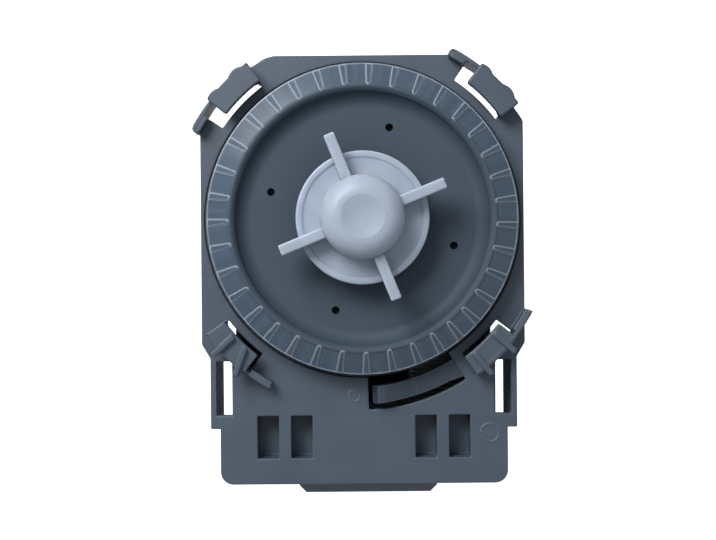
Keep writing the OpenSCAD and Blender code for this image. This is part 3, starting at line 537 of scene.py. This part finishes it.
# ---- Making and finishing meshes ----


def new_object(name, data):
    made = bpy.data.objects.new(name, data)
    bpy.context.scene.collection.objects.link(made)
    return made


def make_plain(piece):
    """Turns the piece with its modifiers into a plain mesh."""
    graph = bpy.context.evaluated_depsgraph_get()
    graph.update()
    made = bpy.data.meshes.new_from_object(piece.evaluated_get(graph))
    piece.modifiers.clear()
    piece.data = made
    made.name = piece.name
    return piece


def set_finish(piece, finish):
    piece.data.materials.clear()
    piece.data.materials.append(finish)
    for face in piece.data.polygons:
        face.material_index = 0


def seat_piece(piece, node, finish=None):
    """Puts the piece in the place of a CAD node: on the same body, with the node hidden."""
    if finish is not None:
        set_finish(piece, finish)
    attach(piece, BODY_OF[node])
    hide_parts(node)


def finish_nodes(finish, *nodes):
    """Keeps the shapes of CAD nodes and gives them a finish."""
    for node in nodes:
        set_finish(frame["nodes"][node], finish)


def welded(node, flat_together=False):
    """A CAD node's faces in a new bmesh, welded, without its stored normals; flat areas joined if asked."""
    copied = frame["nodes"][node].data.copy()
    stored = copied.attributes.get("custom_normal")
    if stored:
        copied.attributes.remove(stored)
    made = bmesh.new()
    made.from_mesh(copied)
    bpy.data.meshes.remove(copied)
    bmesh.ops.remove_doubles(made, verts=made.verts, dist=0.002 * MM)
    if flat_together:
        bmesh.ops.dissolve_limit(made, angle_limit=radians(0.4), verts=made.verts, edges=made.edges)
    return made


def room_beside(edge, face):
    """How far the face reaches away from one of its edges."""
    start = edge.verts[0].co
    along = (edge.verts[1].co - start).normalized()
    return max(((v.co - start) - along * (v.co - start).dot(along)).length for v in face.verts)


# Edges that turn by more degrees than this are rounded and shade sharp
SHARP = 28


def weigh_edges(shape, width):
    """Weighs each sharp edge for a rounding of that width, less where there is no room for it."""
    # Two roundings share a face or an edge; an edge that runs on nearly straight takes no share
    face_share, edge_share, runs_on, least = 2.3, 2.1, 0.82, 0.2
    layer = shape.edges.layers.float.new("bevel_weight_edge")
    for edge in shape.edges:
        if len(edge.link_faces) != 2 or edge.calc_face_angle(0) < radians(SHARP):
            continue
        along = (edge.verts[1].co - edge.verts[0].co).normalized()
        room = min(room_beside(edge, face) for face in edge.link_faces) / face_share
        for end in edge.verts:
            for other in end.link_edges:
                if other is edge:
                    continue
                turn = abs(along.dot((other.verts[1].co - other.verts[0].co).normalized()))
                if turn < runs_on:
                    room = min(room, other.calc_length() / edge_share)
        weight = min(1.0, room / width)
        edge[layer] = weight if weight > least else 0.0


def rounded(shape, name, width):
    """A welded bmesh as a piece with its sharp edges rounded, as a moulding has them."""
    weigh_edges(shape, width)
    return soften(mesh_piece(shape, name, SHARP), width)


def seat_rounded(node, width, finish):
    """Puts a copy with rounded edges in the place of a CAD node."""
    seat_piece(rounded(welded(node, True), node + "_moulding", width), node, finish)


def soften(piece, width, steps=2, by_angle=None):
    """Rounds the piece's edges by their weight, or by angle; flat areas go on shading flat."""
    bevel = piece.modifiers.new("edge_round", "BEVEL")
    bevel.width = width
    bevel.segments = steps
    bevel.use_clamp_overlap = False
    bevel.harden_normals = True
    if by_angle:
        bevel.limit_method = "ANGLE"
        bevel.angle_limit = radians(by_angle)
    else:
        bevel.limit_method = "WEIGHT"
    return make_plain(piece)


def join_pieces(pieces, name):
    """Joins plain meshes that sit at the origin into one piece."""
    mesh = bpy.data.meshes.new(name)
    shape = bmesh.new()
    for piece in pieces:
        shape.from_mesh(piece.data)
        bpy.data.objects.remove(piece)
    shape.to_mesh(mesh)
    shape.free()
    return new_object(name, mesh)


def rounded_profile(corners):
    """Points of a closed outline in mm whose corners (r, z, radius) are rounded by arcs."""
    points, steps = [], 4
    for i, (r, z, radius) in enumerate(corners):
        corner = Vector((r, z))
        if radius <= 0:
            points.append(corner)
            continue
        to_last = Vector(corners[i - 1][:2]) - corner
        to_next = Vector(corners[(i + 1) % len(corners)][:2]) - corner
        u, v = to_last.normalized(), to_next.normalized()
        half = acos(max(-1, min(1, u.dot(v)))) / 2
        cut = min(radius / tan(half), to_last.length * 0.48, to_next.length * 0.48)
        fitted = cut * tan(half)
        centre = corner + (u + v).normalized() * (fitted / sin(half))
        start, end = corner + u * cut - centre, corner + v * cut - centre
        sweep = start.angle_signed(end)
        for k in range(steps + 1):
            turn = -sweep * k / steps
            points.append(centre + Vector((
                start.x * cos(turn) - start.y * sin(turn),
                start.x * sin(turn) + start.y * cos(turn))))
    return points


def lathe(profile, turns=216, centre=(0.0, 0.0)):
    """A closed outline in mm turned round the Z axis."""
    shape = bmesh.new()
    rings = []
    for k in range(turns):
        a = 2 * pi * k / turns
        rings.append([shape.verts.new((
            (centre[0] + p.x * cos(a)) * MM, (centre[1] + p.x * sin(a)) * MM, p.y * MM))
            for p in profile])
    for k in range(turns):
        here, after = rings[k], rings[(k + 1) % turns]
        for i in range(len(profile)):
            j = (i + 1) % len(profile)
            if profile[i].x < 1e-6 and profile[j].x < 1e-6:
                continue
            shape.faces.new((here[i], after[i], after[j], here[j]))
    bmesh.ops.remove_doubles(shape, verts=shape.verts, dist=0.0005 * MM)
    bmesh.ops.recalc_face_normals(shape, faces=shape.faces)
    return shape


def mesh_piece(shape, name, sharp=30):
    """A bmesh as a piece that shades smooth over its shallow edges."""
    mesh = bpy.data.meshes.new(name)
    shape.to_mesh(mesh)
    shape.free()
    mesh.shade_smooth()
    mesh.set_sharp_from_angle(angle=radians(sharp))
    return new_object(name, mesh)


def around(radius, angle):
    """The point at that radius and angle round the axis."""
    return radius * cos(angle), radius * sin(angle)


def bridged(low, high):
    """A closed bmesh between two outlines of as many points; gives it and the corners of the second."""
    shape = bmesh.new()
    feet, tops = ([shape.verts.new(point) for point in outline] for outline in (low, high))
    shape.faces.new(tops)
    shape.faces.new(feet[::-1])
    for i, foot in enumerate(feet):
        j = (i + 1) % len(feet)
        shape.faces.new((foot, feet[j], tops[j], tops[i]))
    bmesh.ops.recalc_face_normals(shape, faces=shape.faces)
    return shape, tops


def prism(outline, bottom_mm, top_mm, name, rounding):
    """An upright prism over the outline with its edges rounded."""
    shape, _ = bridged(*([(x, y, z * MM) for x, y in outline] for z in (bottom_mm, top_mm)))
    return soften(mesh_piece(shape, name), rounding, steps=3, by_angle=30)


# ---- Geometry Nodes ----


def copying_tree(name, measures, set_out):
    """The Geometry Nodes tree of that name, made once. Its set_out places the copies by those measures."""
    tree = bpy.data.node_groups.get(name)
    if tree:
        return tree
    tree = bpy.data.node_groups.new(name, "GeometryNodeTree")
    kinds = {"Geometry": "Geometry", "Count": "Int", **dict.fromkeys(measures, "Float"), "Finish": "Material"}
    for label, kind in kinds.items():
        tree.interface.new_socket(name=label, in_out="INPUT", socket_type="NodeSocket" + kind)
    tree.interface.new_socket(name="Geometry", in_out="OUTPUT", socket_type="NodeSocketGeometry")
    given = add_node(tree, "NodeGroupInput").outputs
    real = add_node(tree, "GeometryNodeRealizeInstances", {"Geometry": set_out(tree, given)})
    finished = add_node(tree, "GeometryNodeSetMaterial", {"Geometry": real, "Material": given["Finish"]})
    add_node(tree, "NodeGroupOutput", {"Geometry": finished})
    return tree


def round_the_axis_tree():
    """Copies the geometry round Z: Count copies, the first turned by Phase, the left half by Shift more."""
    def set_out(tree, given):
        step = sum_of(tree, "DIVIDE", 2 * pi, given["Count"])
        index = add_node(tree, "GeometryNodeInputIndex")
        turned = sum_of(tree, "MULTIPLY_ADD", index, step, given["Phase"])
        # The left half begins and ends at these angles; the shift grows and fades over the arc after them
        begins, ends, arc = 132, 292, 30
        ahead, back = (between(tree, turned, 0.0, given["Shift"], radians(at), radians(at + arc))
                       for at in (begins, ends))
        placed = sum_of(tree, "ADD", turned, sum_of(tree, "SUBTRACT", ahead, back))
        euler = add_node(tree, "ShaderNodeCombineXYZ", {"Z": placed})
        turn = add_node(tree, "FunctionNodeEulerToRotation", {"Euler": euler})
        points = add_node(tree, "GeometryNodePoints", {"Count": given["Count"]})
        return add_node(tree, "GeometryNodeInstanceOnPoints", {
            "Points": points, "Instance": given["Geometry"], "Rotation": turn})
    return copying_tree("round_the_axis", ("Phase", "Shift"), set_out)


def sheet_stack_tree():
    """Stacks a sheet along +Z: Count sheets, Pitch apart."""
    def set_out(tree, given):
        offset = add_node(tree, "ShaderNodeCombineXYZ", {"Z": given["Pitch"]})
        line = add_node(
            tree, "GeometryNodeMeshLine", {"Count": given["Count"], "Offset": offset}, mode="OFFSET")
        return add_node(tree, "GeometryNodeInstanceOnPoints", {"Points": line, "Instance": given["Geometry"]})
    return copying_tree("sheet_stack", ("Pitch",), set_out)


def run_tree(piece, tree, values):
    """Runs a Geometry Nodes tree on the piece with those inputs and keeps the result as a plain mesh."""
    modifier = piece.modifiers.new(tree.name, "NODES")
    modifier.node_group = tree
    for item in tree.interface.items_tree:
        if item.item_type == "SOCKET" and item.in_out == "INPUT" and item.name in values:
            modifier[item.identifier] = values[item.name]
    return make_plain(piece)


# ---- The pieces ----


# The chamber disc's cone in mm, which falls from the crest to the edge, its floor and the end of its can
CREST_R, CREST_Z, EDGE_R, EDGE_Z, FLOOR_Z = 30.0, 8.5, 35.0, 5.6, 5.0
CAN_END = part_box("chamber_disc")[0].z / MM


def disc_profile(crest_round):
    """Section of the chamber disc with its can in mm, from the axis out over the top and back underneath."""
    wall_foot, wall_sweep, wall_top, wall_z = 25.3, 3.6, 29.4, 8.35
    lip, groove, groove_top, groove_foot = 35.3, 33.9, 3.1, 0.9
    skirt, skirt_foot, underside = 32.6, -1.6, 2.5
    can_r, boss_r, can_foot, wall, end_wall = 14.5, 8.4, -39.6, 1.0, 1.4
    sweep = [(wall_foot + wall_sweep * sin(radians(a)),
              FLOOR_Z + wall_sweep * (1 - cos(radians(a))), 0) for a in range(6, 79, 6)]
    return rounded_profile(
        [(can_r - wall, FLOOR_Z, 0.1), (wall_foot, FLOOR_Z, 0)] + sweep + [
            (wall_top, wall_z, crest_round), (CREST_R, CREST_Z, crest_round),
            (EDGE_R, EDGE_Z + 0.02, 0.15), (lip, EDGE_Z, 0.12),
            (lip, groove_top, 0.15), (groove, groove_top, 0.15),
            (groove, groove_foot, 0.15), (lip, groove_foot, 0.15),
            (lip, skirt_foot, 0.3), (skirt, skirt_foot, 0.3), (skirt, underside, 0.5),
            (can_r, underside, 0.4), (can_r, can_foot, 0.3), (boss_r, can_foot, 0.4),
            (boss_r, CAN_END, 0.4), (0, CAN_END, 0),
            (0, CAN_END + end_wall, 0), (boss_r - wall, CAN_END + end_wall, 0.2),
            (boss_r - wall, can_foot + wall, 0.2), (can_r - wall, can_foot + wall, 0.3)])


class PumpChamberDisc(Operator):
    """Turns the chamber disc with its can, drills its floor and sets ribs and snap legs round it"""
    bl_idname = "drain_pump.chamber_disc"
    bl_label = "Chamber Disc"

    def execute(self, context):
        sizes = pump().disc
        first_hole, first_leg, quarter = 73.2, 45, 90
        finish = disc_plastic()
        turned = mesh_piece(lathe(disc_profile(sizes.crest_round / MM)), "disc_turned")
        set_finish(turned, finish)
        cutter = join_pieces([self.hole(first_hole + quarter * k) for k in range(4)], "hole_cutters")
        drill = turned.modifiers.new("holes", "BOOLEAN")
        drill.operation, drill.solver, drill.object = "DIFFERENCE", "EXACT", cutter
        make_plain(turned)
        turned.data.set_sharp_from_angle(angle=radians(30))
        bpy.data.objects.remove(cutter)
        ribs = run_tree(self.rib(sizes), round_the_axis_tree(), {
            "Count": sizes.rib_count, "Phase": sizes.rib_phase, "Shift": sizes.rib_shift, "Finish": finish})
        legs = run_tree(self.leg(), round_the_axis_tree(), {
            "Count": 4, "Phase": radians(first_leg), "Finish": finish})
        seat_piece(join_pieces([turned, ribs, legs], "chamber_disc_turned"), "chamber_disc", finish)
        return {"FINISHED"}

    def hole(self, degrees):
        """What the drill takes out of the floor at that angle."""
        circle, drill_r, tip, shoulder, clear = 21.6, 0.9, 2.7, 3.6, 6
        section = [Vector(p) for p in ((0, tip), (drill_r, shoulder), (drill_r, clear), (0, clear))]
        return mesh_piece(lathe(section, 32, around(circle, radians(degrees))), "hole_cutter")

    def rib(self, sizes):
        """One rim rib: a tapered bar on the cone with a round inner tip."""
        tip, root, sunk = sizes.rib_tip_width / 2, sizes.rib_root_width / 2, 0.4 * MM
        first, last = (CREST_R + 0.1) * MM, (EDGE_R + 0.02) * MM
        turns = [around(tip, radians(90 + 30 * k)) for k in range(7)]
        outline = [(first + tip + x, y) for x, y in turns] + [(last, -root), (last, root)]
        slope = (EDGE_Z - CREST_Z) / (EDGE_R - CREST_R)
        cone = [(x, y, CREST_Z * MM + (x - CREST_R * MM) * slope) for x, y in outline]
        shape, tops = bridged(*([(x, y, z + up) for x, y, z in cone] for up in (-sunk, sizes.rib_height)))
        layer = shape.edges.layers.float.new("bevel_weight_edge")
        for edge in shape.edges:
            if all(corner in tops for corner in edge.verts):
                edge[layer] = 1.0
        return soften(mesh_piece(shape, "rim_rib", sharp=40), 0.14 * MM, steps=3)

    def leg(self):
        """One snap leg with its barb."""
        inner, outer, catch, half_width, draft = 23, 25, 28.15, 2.35, 0.05
        top, barb, foot = 2.6, -3.2, -4.55
        outline = [(inner, top), (outer, top), (outer, barb), (catch, barb),
                   (outer - draft, foot), (inner + draft, foot)]
        shape, _ = bridged(*(
            [(r * MM, y * MM, z * MM) for r, z in outline] for y in (-half_width, half_width)))
        return soften(mesh_piece(shape, "snap_leg"), 0.2 * MM, by_angle=30)


class PumpPlate(Operator):
    """Finishes the mounting plate, its hooks' pads and arms, and the plain rings left by ejector pins"""
    bl_idname = "drain_pump.plate"
    bl_label = "Mounting Plate"

    def execute(self, context):
        sizes = pump().pads
        # Turns of the upper hooks, which have lobes, and of the lower ones, which run out in an arm
        upper, lower, lobes = (0, 90), (180, 270), (40.6, 50.0)
        tops_over, sunk = 4.7 * MM, 0.6 * MM
        shape = welded("mounting_plate", True)
        for corner in shape.verts:
            # The upper hooks' own tops go down under the smooth pads
            if corner.co.y > 0 and corner.co.z > tops_over:
                corner.co.z -= sunk
        plate = rounded(shape, "plate_body", pump().moulding.edge_round)
        marks = [self.ring(x=-2.1, y=-40.6, radius=1.35), self.ring(x=29.1, y=-49.4, radius=2.1)]
        pads = [self.pad(sizes, turn, lobes if turn in upper else ()) for turn in upper + lower]
        arms = [self.arm(sizes, turn) for turn in lower]
        piece = join_pieces([plate] + marks + pads + arms, "mounting_plate_moulding")
        seat_piece(piece, "mounting_plate", plate_plastic())
        return {"FINISHED"}

    def pad(self, sizes, turn, lobes):
        """The smooth top of a hook's pad, whose outer edge swells into a lobe at each of those angles."""
        start, arc, steps, foot, fullness = 35.97, 16.06, 60, 3.7, 0.8
        lobe_half = sizes.lobe_width / 2 / sizes.pad_outer
        outer, inner = [], []
        for k in range(steps + 1):
            a = radians(start + arc * k / steps)
            apart = min((abs(a - radians(lobe)) for lobe in lobes), default=1.0)
            swell = cos(apart / lobe_half * pi / 2) ** fullness if apart < lobe_half else 0.0
            outer.append((sizes.pad_outer + sizes.lobe_reach * swell, a))
            inner.append((sizes.pad_inner, a))
        rim = [around(r, a + radians(turn)) for r, a in outer + inner[::-5]]
        return prism(rim, foot, sizes.pad_level / MM, "hook_pad", sizes.pad_round)

    def arm(self, sizes, turn):
        """The thicker arm in which a lower hook's wall runs out."""
        start, arc, steps, foot, top = 53.2, 7.6, 12, -0.5, 3.64
        angles = [radians(turn + start + arc * k / steps) for k in range(steps + 1)]
        rim = [around(sizes.pad_outer, a) for a in angles]
        rim += [around(sizes.pad_outer - sizes.tail_width, a) for a in reversed(angles)]
        return prism(rim, foot, top, "hook_tail", sizes.pad_round)

    def ring(self, x, y, radius):
        """A low plain ring, as an ejector pin leaves it, sunk into the plate's face."""
        section = ((-0.2, -0.2), (-0.16, 0.03), (0, 0.06), (0.16, 0.03), (0.2, -0.2))
        outline = [Vector((radius + out, up)) for out, up in section]
        return mesh_piece(lathe(outline, 40, (x, y)), "ejector_ring", sharp=60)


class PumpTongue(Operator):
    """Finishes the locking tongue and brings its root up to the plate"""
    bl_idname = "drain_pump.tongue"
    bl_label = "Locking Tongue"

    def execute(self, context):
        sizes = pump().moulding
        shape = welded("lock_tongue")
        # The root's face lies furthest round; its underside is what lies below this height
        underside, same_face = -1 * MM, radians(0.05)
        root = max(atan2(corner.co.y, corner.co.x) for corner in shape.verts)
        for corner in shape.verts:
            if root - atan2(corner.co.y, corner.co.x) < same_face:
                reach = sizes.root_reach if corner.co.z > underside else sizes.foot_reach
                corner.co.rotate(Matrix.Rotation(reach / corner.co.xy.length, 3, "Z"))
        # Painted shade: the tongue takes the plate's plastic in its darker colour
        finish = plate_plastic("moulded_polypropylene_tongue_painted_shade", pump().colours.tongue, 0.1)
        seat_piece(mesh_piece(shape, "lock_tongue_moulding"), "lock_tongue", finish)
        return {"FINISHED"}


class PumpSeals(Operator):
    """Gives the seal ring, the bearing cups and the dog's buffers their rubber"""
    bl_idname = "drain_pump.seals"
    bl_label = "Seal and Rubbers"

    def execute(self, context):
        finish_nodes(seal_rubber(), "seal_ring", "front_bearing_rubber", "rear_bearing_rubber", "dog_buffer")
        return {"FINISHED"}


def impeller_profile(lip_mm):
    """Section of the impeller in mm: dished top, round shoulder, back disc with a low lip, hollow below."""
    dish_z, dish_r, dish_edge, dish_top = 38.4, 18.0, 4.75, 21.0
    turn_x, turn_z, turn_r, hub_r = 4.95, 16.75, 4.25, 9.2
    disc_r, disc_foot, disc_top, lip_slope, lip_top = 14.8, 11.0, 12.2, 0.3, 0.4
    hollow_r, ceiling, bore_r, bore_end = 7.5, 17.2, 2.04, 18.8
    dish = [(r, dish_z - sqrt(dish_r ** 2 - r * r), 0) for r in (0, 1.0, 2.0, 3.0, 3.8)]
    shoulder = [(turn_x + turn_r * sin(radians(a)),
                 turn_z + turn_r * cos(radians(a)), 0) for a in range(12, 91, 6)]
    return rounded_profile(
        dish + [(dish_edge, dish_top, 0.9)] + shoulder + [
            (hub_r, disc_top, 0.4), (disc_r - lip_slope - lip_mm, disc_top, 0.5),
            (disc_r - lip_mm, disc_top + lip_slope, 0.3), (disc_r, disc_top + lip_top, 0.35),
            (disc_r, disc_foot, 0.3), (hollow_r, disc_foot, 0.1), (hollow_r, ceiling, 0.2),
            (bore_r, ceiling, 0.1), (bore_r, bore_end, 0.2), (0, bore_end, 0)])


class PumpImpeller(Operator):
    """Turns the impeller, sets the blades round it and finishes the pieces inside its hub"""
    bl_idname = "drain_pump.impeller"
    bl_label = "Impeller"

    def execute(self, context):
        sizes = pump().impeller
        finish = impeller_plastic()
        turned = mesh_piece(lathe(impeller_profile(sizes.lip_width / MM), turns=144), "hub_turned", sharp=40)
        set_finish(turned, finish)
        blades = run_tree(self.blade(sizes), round_the_axis_tree(), {
            "Count": sizes.blade_count, "Phase": sizes.blade_phase, "Finish": finish})
        piece = join_pieces([turned, blades, self.stop(sizes)], "impeller_turned")
        seat_piece(piece, "impeller", finish)
        finish_nodes(finish, "hub_cover", "drive_dog", "magnet_carrier")
        return {"FINISHED"}

    def blade(self, sizes):
        """One straight blade along +X with rounded edges."""
        root, tip, foot, top, half = 8 * MM, 19.48 * MM, 11.02, 17.0, sizes.blade_width / 2
        outline = [(root, -half), (tip, -half), (tip, half), (root, half)]
        return prism(outline, foot, top, "blade", sizes.blade_round)

    def stop(self, sizes):
        """The stop inside the hub that the dog's buffers strike."""
        outer, inner, foot, top, half_arc, step = 7.7 * MM, 4.35 * MM, 12.25, 17.4, 35, 7
        angles = [sizes.blade_phase + radians(d) for d in range(-half_arc, half_arc + 1, step)]
        outline = [around(outer, a) for a in angles] + [around(inner, a) for a in reversed(angles)]
        return prism(outline, foot, top, "hub_stop", 0.15 * MM)


class PumpRotor(Operator):
    """Finishes the shaft, magnet, bushes, washers and the bearing bracket"""
    bl_idname = "drain_pump.rotor"
    bl_label = "Rotor and Bearings"

    def execute(self, context):
        finish_nodes(turned_steel(), "rotor_shaft", "front_thrust_washer", "rear_thrust_washer")
        finish_nodes(bush_ceramic(), "front_bearing", "rear_bearing")
        finish_nodes(magnet_ferrite(), "rotor_magnet")
        seat_rounded("bearing_bracket", pump().moulding.fine_round, disc_plastic())
        return {"FINISHED"}


class PumpCore(Operator):
    """Stacks the poles and the yoke from punched sheets and finishes their screws"""
    bl_idname = "drain_pump.core"
    bl_label = "Laminated Core"

    def execute(self, context):
        sizes = pump().core
        for node in ("core_pole_left", "core_pole_right", "core_yoke"):
            low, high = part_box(node)
            count = max(2, round((high.z - low.z) / sizes.sheet_pitch))
            pitch = (high.z - low.z) / count
            sheet = self.sheet(node, low.z, pitch - sizes.sheet_groove)
            seat_piece(run_tree(sheet, sheet_stack_tree(), {
                "Count": count, "Pitch": pitch, "Finish": core_sheet()}), node)
        seat_rounded("core_screws", pump().moulding.fine_round, plated_steel())
        return {"FINISHED"}

    def sheet(self, node, bottom, thickness):
        """One punched sheet, as thick as given, at the bottom of the stack."""
        shape = welded(node)
        for corner in shape.verts:
            corner.co.z = bottom if corner.co.z < bottom + 1 * MM else bottom + thickness
        bmesh.ops.recalc_face_normals(shape, faces=shape.faces)
        return mesh_piece(shape, node + "_sheets")


class PumpCoils(Operator):
    """Finishes the bobbins, windings, tape and thermal fuse"""
    bl_idname = "drain_pump.coils"
    bl_label = "Coils"

    def execute(self, context):
        for side in ("left", "right"):
            seat_rounded("bobbin_" + side, pump().moulding.fine_round, connector_plastic())
        finish_nodes(winding_copper(), "winding_left", "winding_right")
        finish_nodes(coil_tape(), "coil_tape_left", "coil_tape_right")
        finish_nodes(plated_steel(), "thermal_fuse")
        return {"FINISHED"}


class PumpConnector(Operator):
    """Finishes the connector housing and its tabs"""
    bl_idname = "drain_pump.connector"
    bl_label = "Connector"

    def execute(self, context):
        seat_rounded("connector_housing", pump().moulding.edge_round, connector_plastic())
        finish_nodes(tab_brass(), "terminal_tabs")
        return {"FINISHED"}


class PumpCover(Operator):
    """Finishes the rear cover"""
    bl_idname = "drain_pump.cover"
    bl_label = "Rear Cover"

    def execute(self, context):
        seat_rounded("rear_cover", pump().moulding.edge_round, plate_plastic())
        return {"FINISHED"}


class PumpStage(Operator):
    """Lays the white floor and sets up the camera above the pump and the soft lights"""
    bl_idname = "drain_pump.stage"
    bl_label = "Stage"

    def execute(self, context):
        sizes = pump().stage
        shape = bmesh.new()
        bmesh.ops.create_grid(shape, x_segments=8, y_segments=8, size=1.5)
        for corner in shape.verts:
            corner.co.z = CAD_BOX[0].z - 0.05 * MM
        floor = mesh_piece(shape, "studio_floor")
        set_finish(floor, floor_acrylic())

        lens = bpy.data.cameras.new("photo_camera")
        lens.lens, lens.sensor_width, lens.clip_start, lens.clip_end = sizes.lens, 36, 0.01, 10
        camera = new_object("photo_camera", lens)
        # The photo was taken from over a point below the disc, with the camera turned by half a degree
        camera.location = (-1.1 * MM, -11.6 * MM, sizes.camera_height)
        camera.rotation_euler = (0, 0, radians(-0.5))
        context.scene.camera = camera

        # Seen from above, the key light stands upper left and the weak fill light lower right
        fill_share = 0.15
        self.light("key_light", (-0.22, 0.26, 0.34), size=0.26, power=sizes.key_power)
        self.light("fill_light", (0.5, -0.35, 0.7), size=0.7, power=sizes.key_power * fill_share)
        world = bpy.data.worlds.new("soft_room")
        world.use_nodes = True
        tree = world.node_tree
        tree.nodes.clear()
        # The tent lights the pump as strongly as given, and is plain white where the camera sees it
        seen = add_node(tree, "ShaderNodeLightPath").outputs["Is Camera Ray"]
        room = add_node(tree, "ShaderNodeBackground", {
            "Color": self.sky(tree, seen), "Strength": between(tree, seen, sizes.room_light, 1.0)})
        add_node(tree, "ShaderNodeOutputWorld", {"Surface": room})
        context.scene.world = world
        context.scene.view_settings.view_transform = "Standard"
        return {"FINISHED"}

    def sky(self, tree, seen):
        """The light tent's colour by height: dim at its foot, bright overhead, white where it is seen."""
        way = add_node(tree, "ShaderNodeTexCoord").outputs["Generated"]
        height = add_node(tree, "ShaderNodeSeparateXYZ", {"Vector": way}).outputs["Z"]
        ramp = add_node(tree, "ShaderNodeValToRGB", {"Fac": height})
        stops = ramp.color_ramp.elements
        stops[0].position, stops[0].color = 0.02, linear("#303338")
        stops[1].position, stops[1].color = 1.0, linear("#e6ebf0")
        stops.new(0.3).color = linear("#a9aeb4")
        stops.new(0.6).color = linear("#dfe4ea")
        return mixed(tree, seen, ramp, linear("#ffffff"))

    def light(self, name, place, size, power):
        """A square soft light that faces the pump."""
        lamp = bpy.data.lights.new(name, "AREA")
        lamp.shape, lamp.size, lamp.energy = "SQUARE", size, power
        holder = new_object(name, lamp)
        holder.location = place
        holder.rotation_euler = (-Vector(place)).to_track_quat("-Z", "Y").to_euler()


class PumpPanel(Panel):
    """Lists the pump's sizes and the steps that build it"""
    bl_idname = "VIEW3D_PT_drain_pump"
    bl_label = "Drain Pump"
    bl_space_type = "VIEW_3D"
    bl_region_type = "UI"
    bl_category = "Drain Pump"

    def draw(self, context):
        settings = pump()
        for group in (settings.moulding, settings.pads, settings.impeller, settings.disc, settings.core,
                      settings.colours, settings.stage):
            box = self.layout.box()
            for key in group.bl_rna.properties.keys():
                if key not in ("rna_type", "name"):
                    box.prop(group, key)
        for step in STEPS:
            self.layout.operator(step.bl_idname)


# The steps in the order they run
STEPS = (
    PumpPlate, PumpTongue, PumpChamberDisc, PumpSeals, PumpImpeller, PumpRotor,
    PumpCore, PumpCoils, PumpConnector, PumpCover, PumpStage)
CLASSES = (
    PumpMouldingSizes, PumpPadSizes, PumpImpellerSizes, PumpDiscSizes,
    PumpCoreSizes, PumpColours, PumpStageSizes, PumpSettings) + STEPS + (PumpPanel,)


def register():
    for cls in CLASSES:
        bpy.utils.register_class(cls)
    bpy.types.Scene.drain_pump = PointerProperty(type=PumpSettings)


def unregister():
    del bpy.types.Scene.drain_pump
    for cls in reversed(CLASSES):
        bpy.utils.unregister_class(cls)


def main():
    register()
    for step in STEPS:
        getattr(bpy.ops.drain_pump, step.bl_idname.split(".")[1])()


if __name__ == "__main__":
    main()
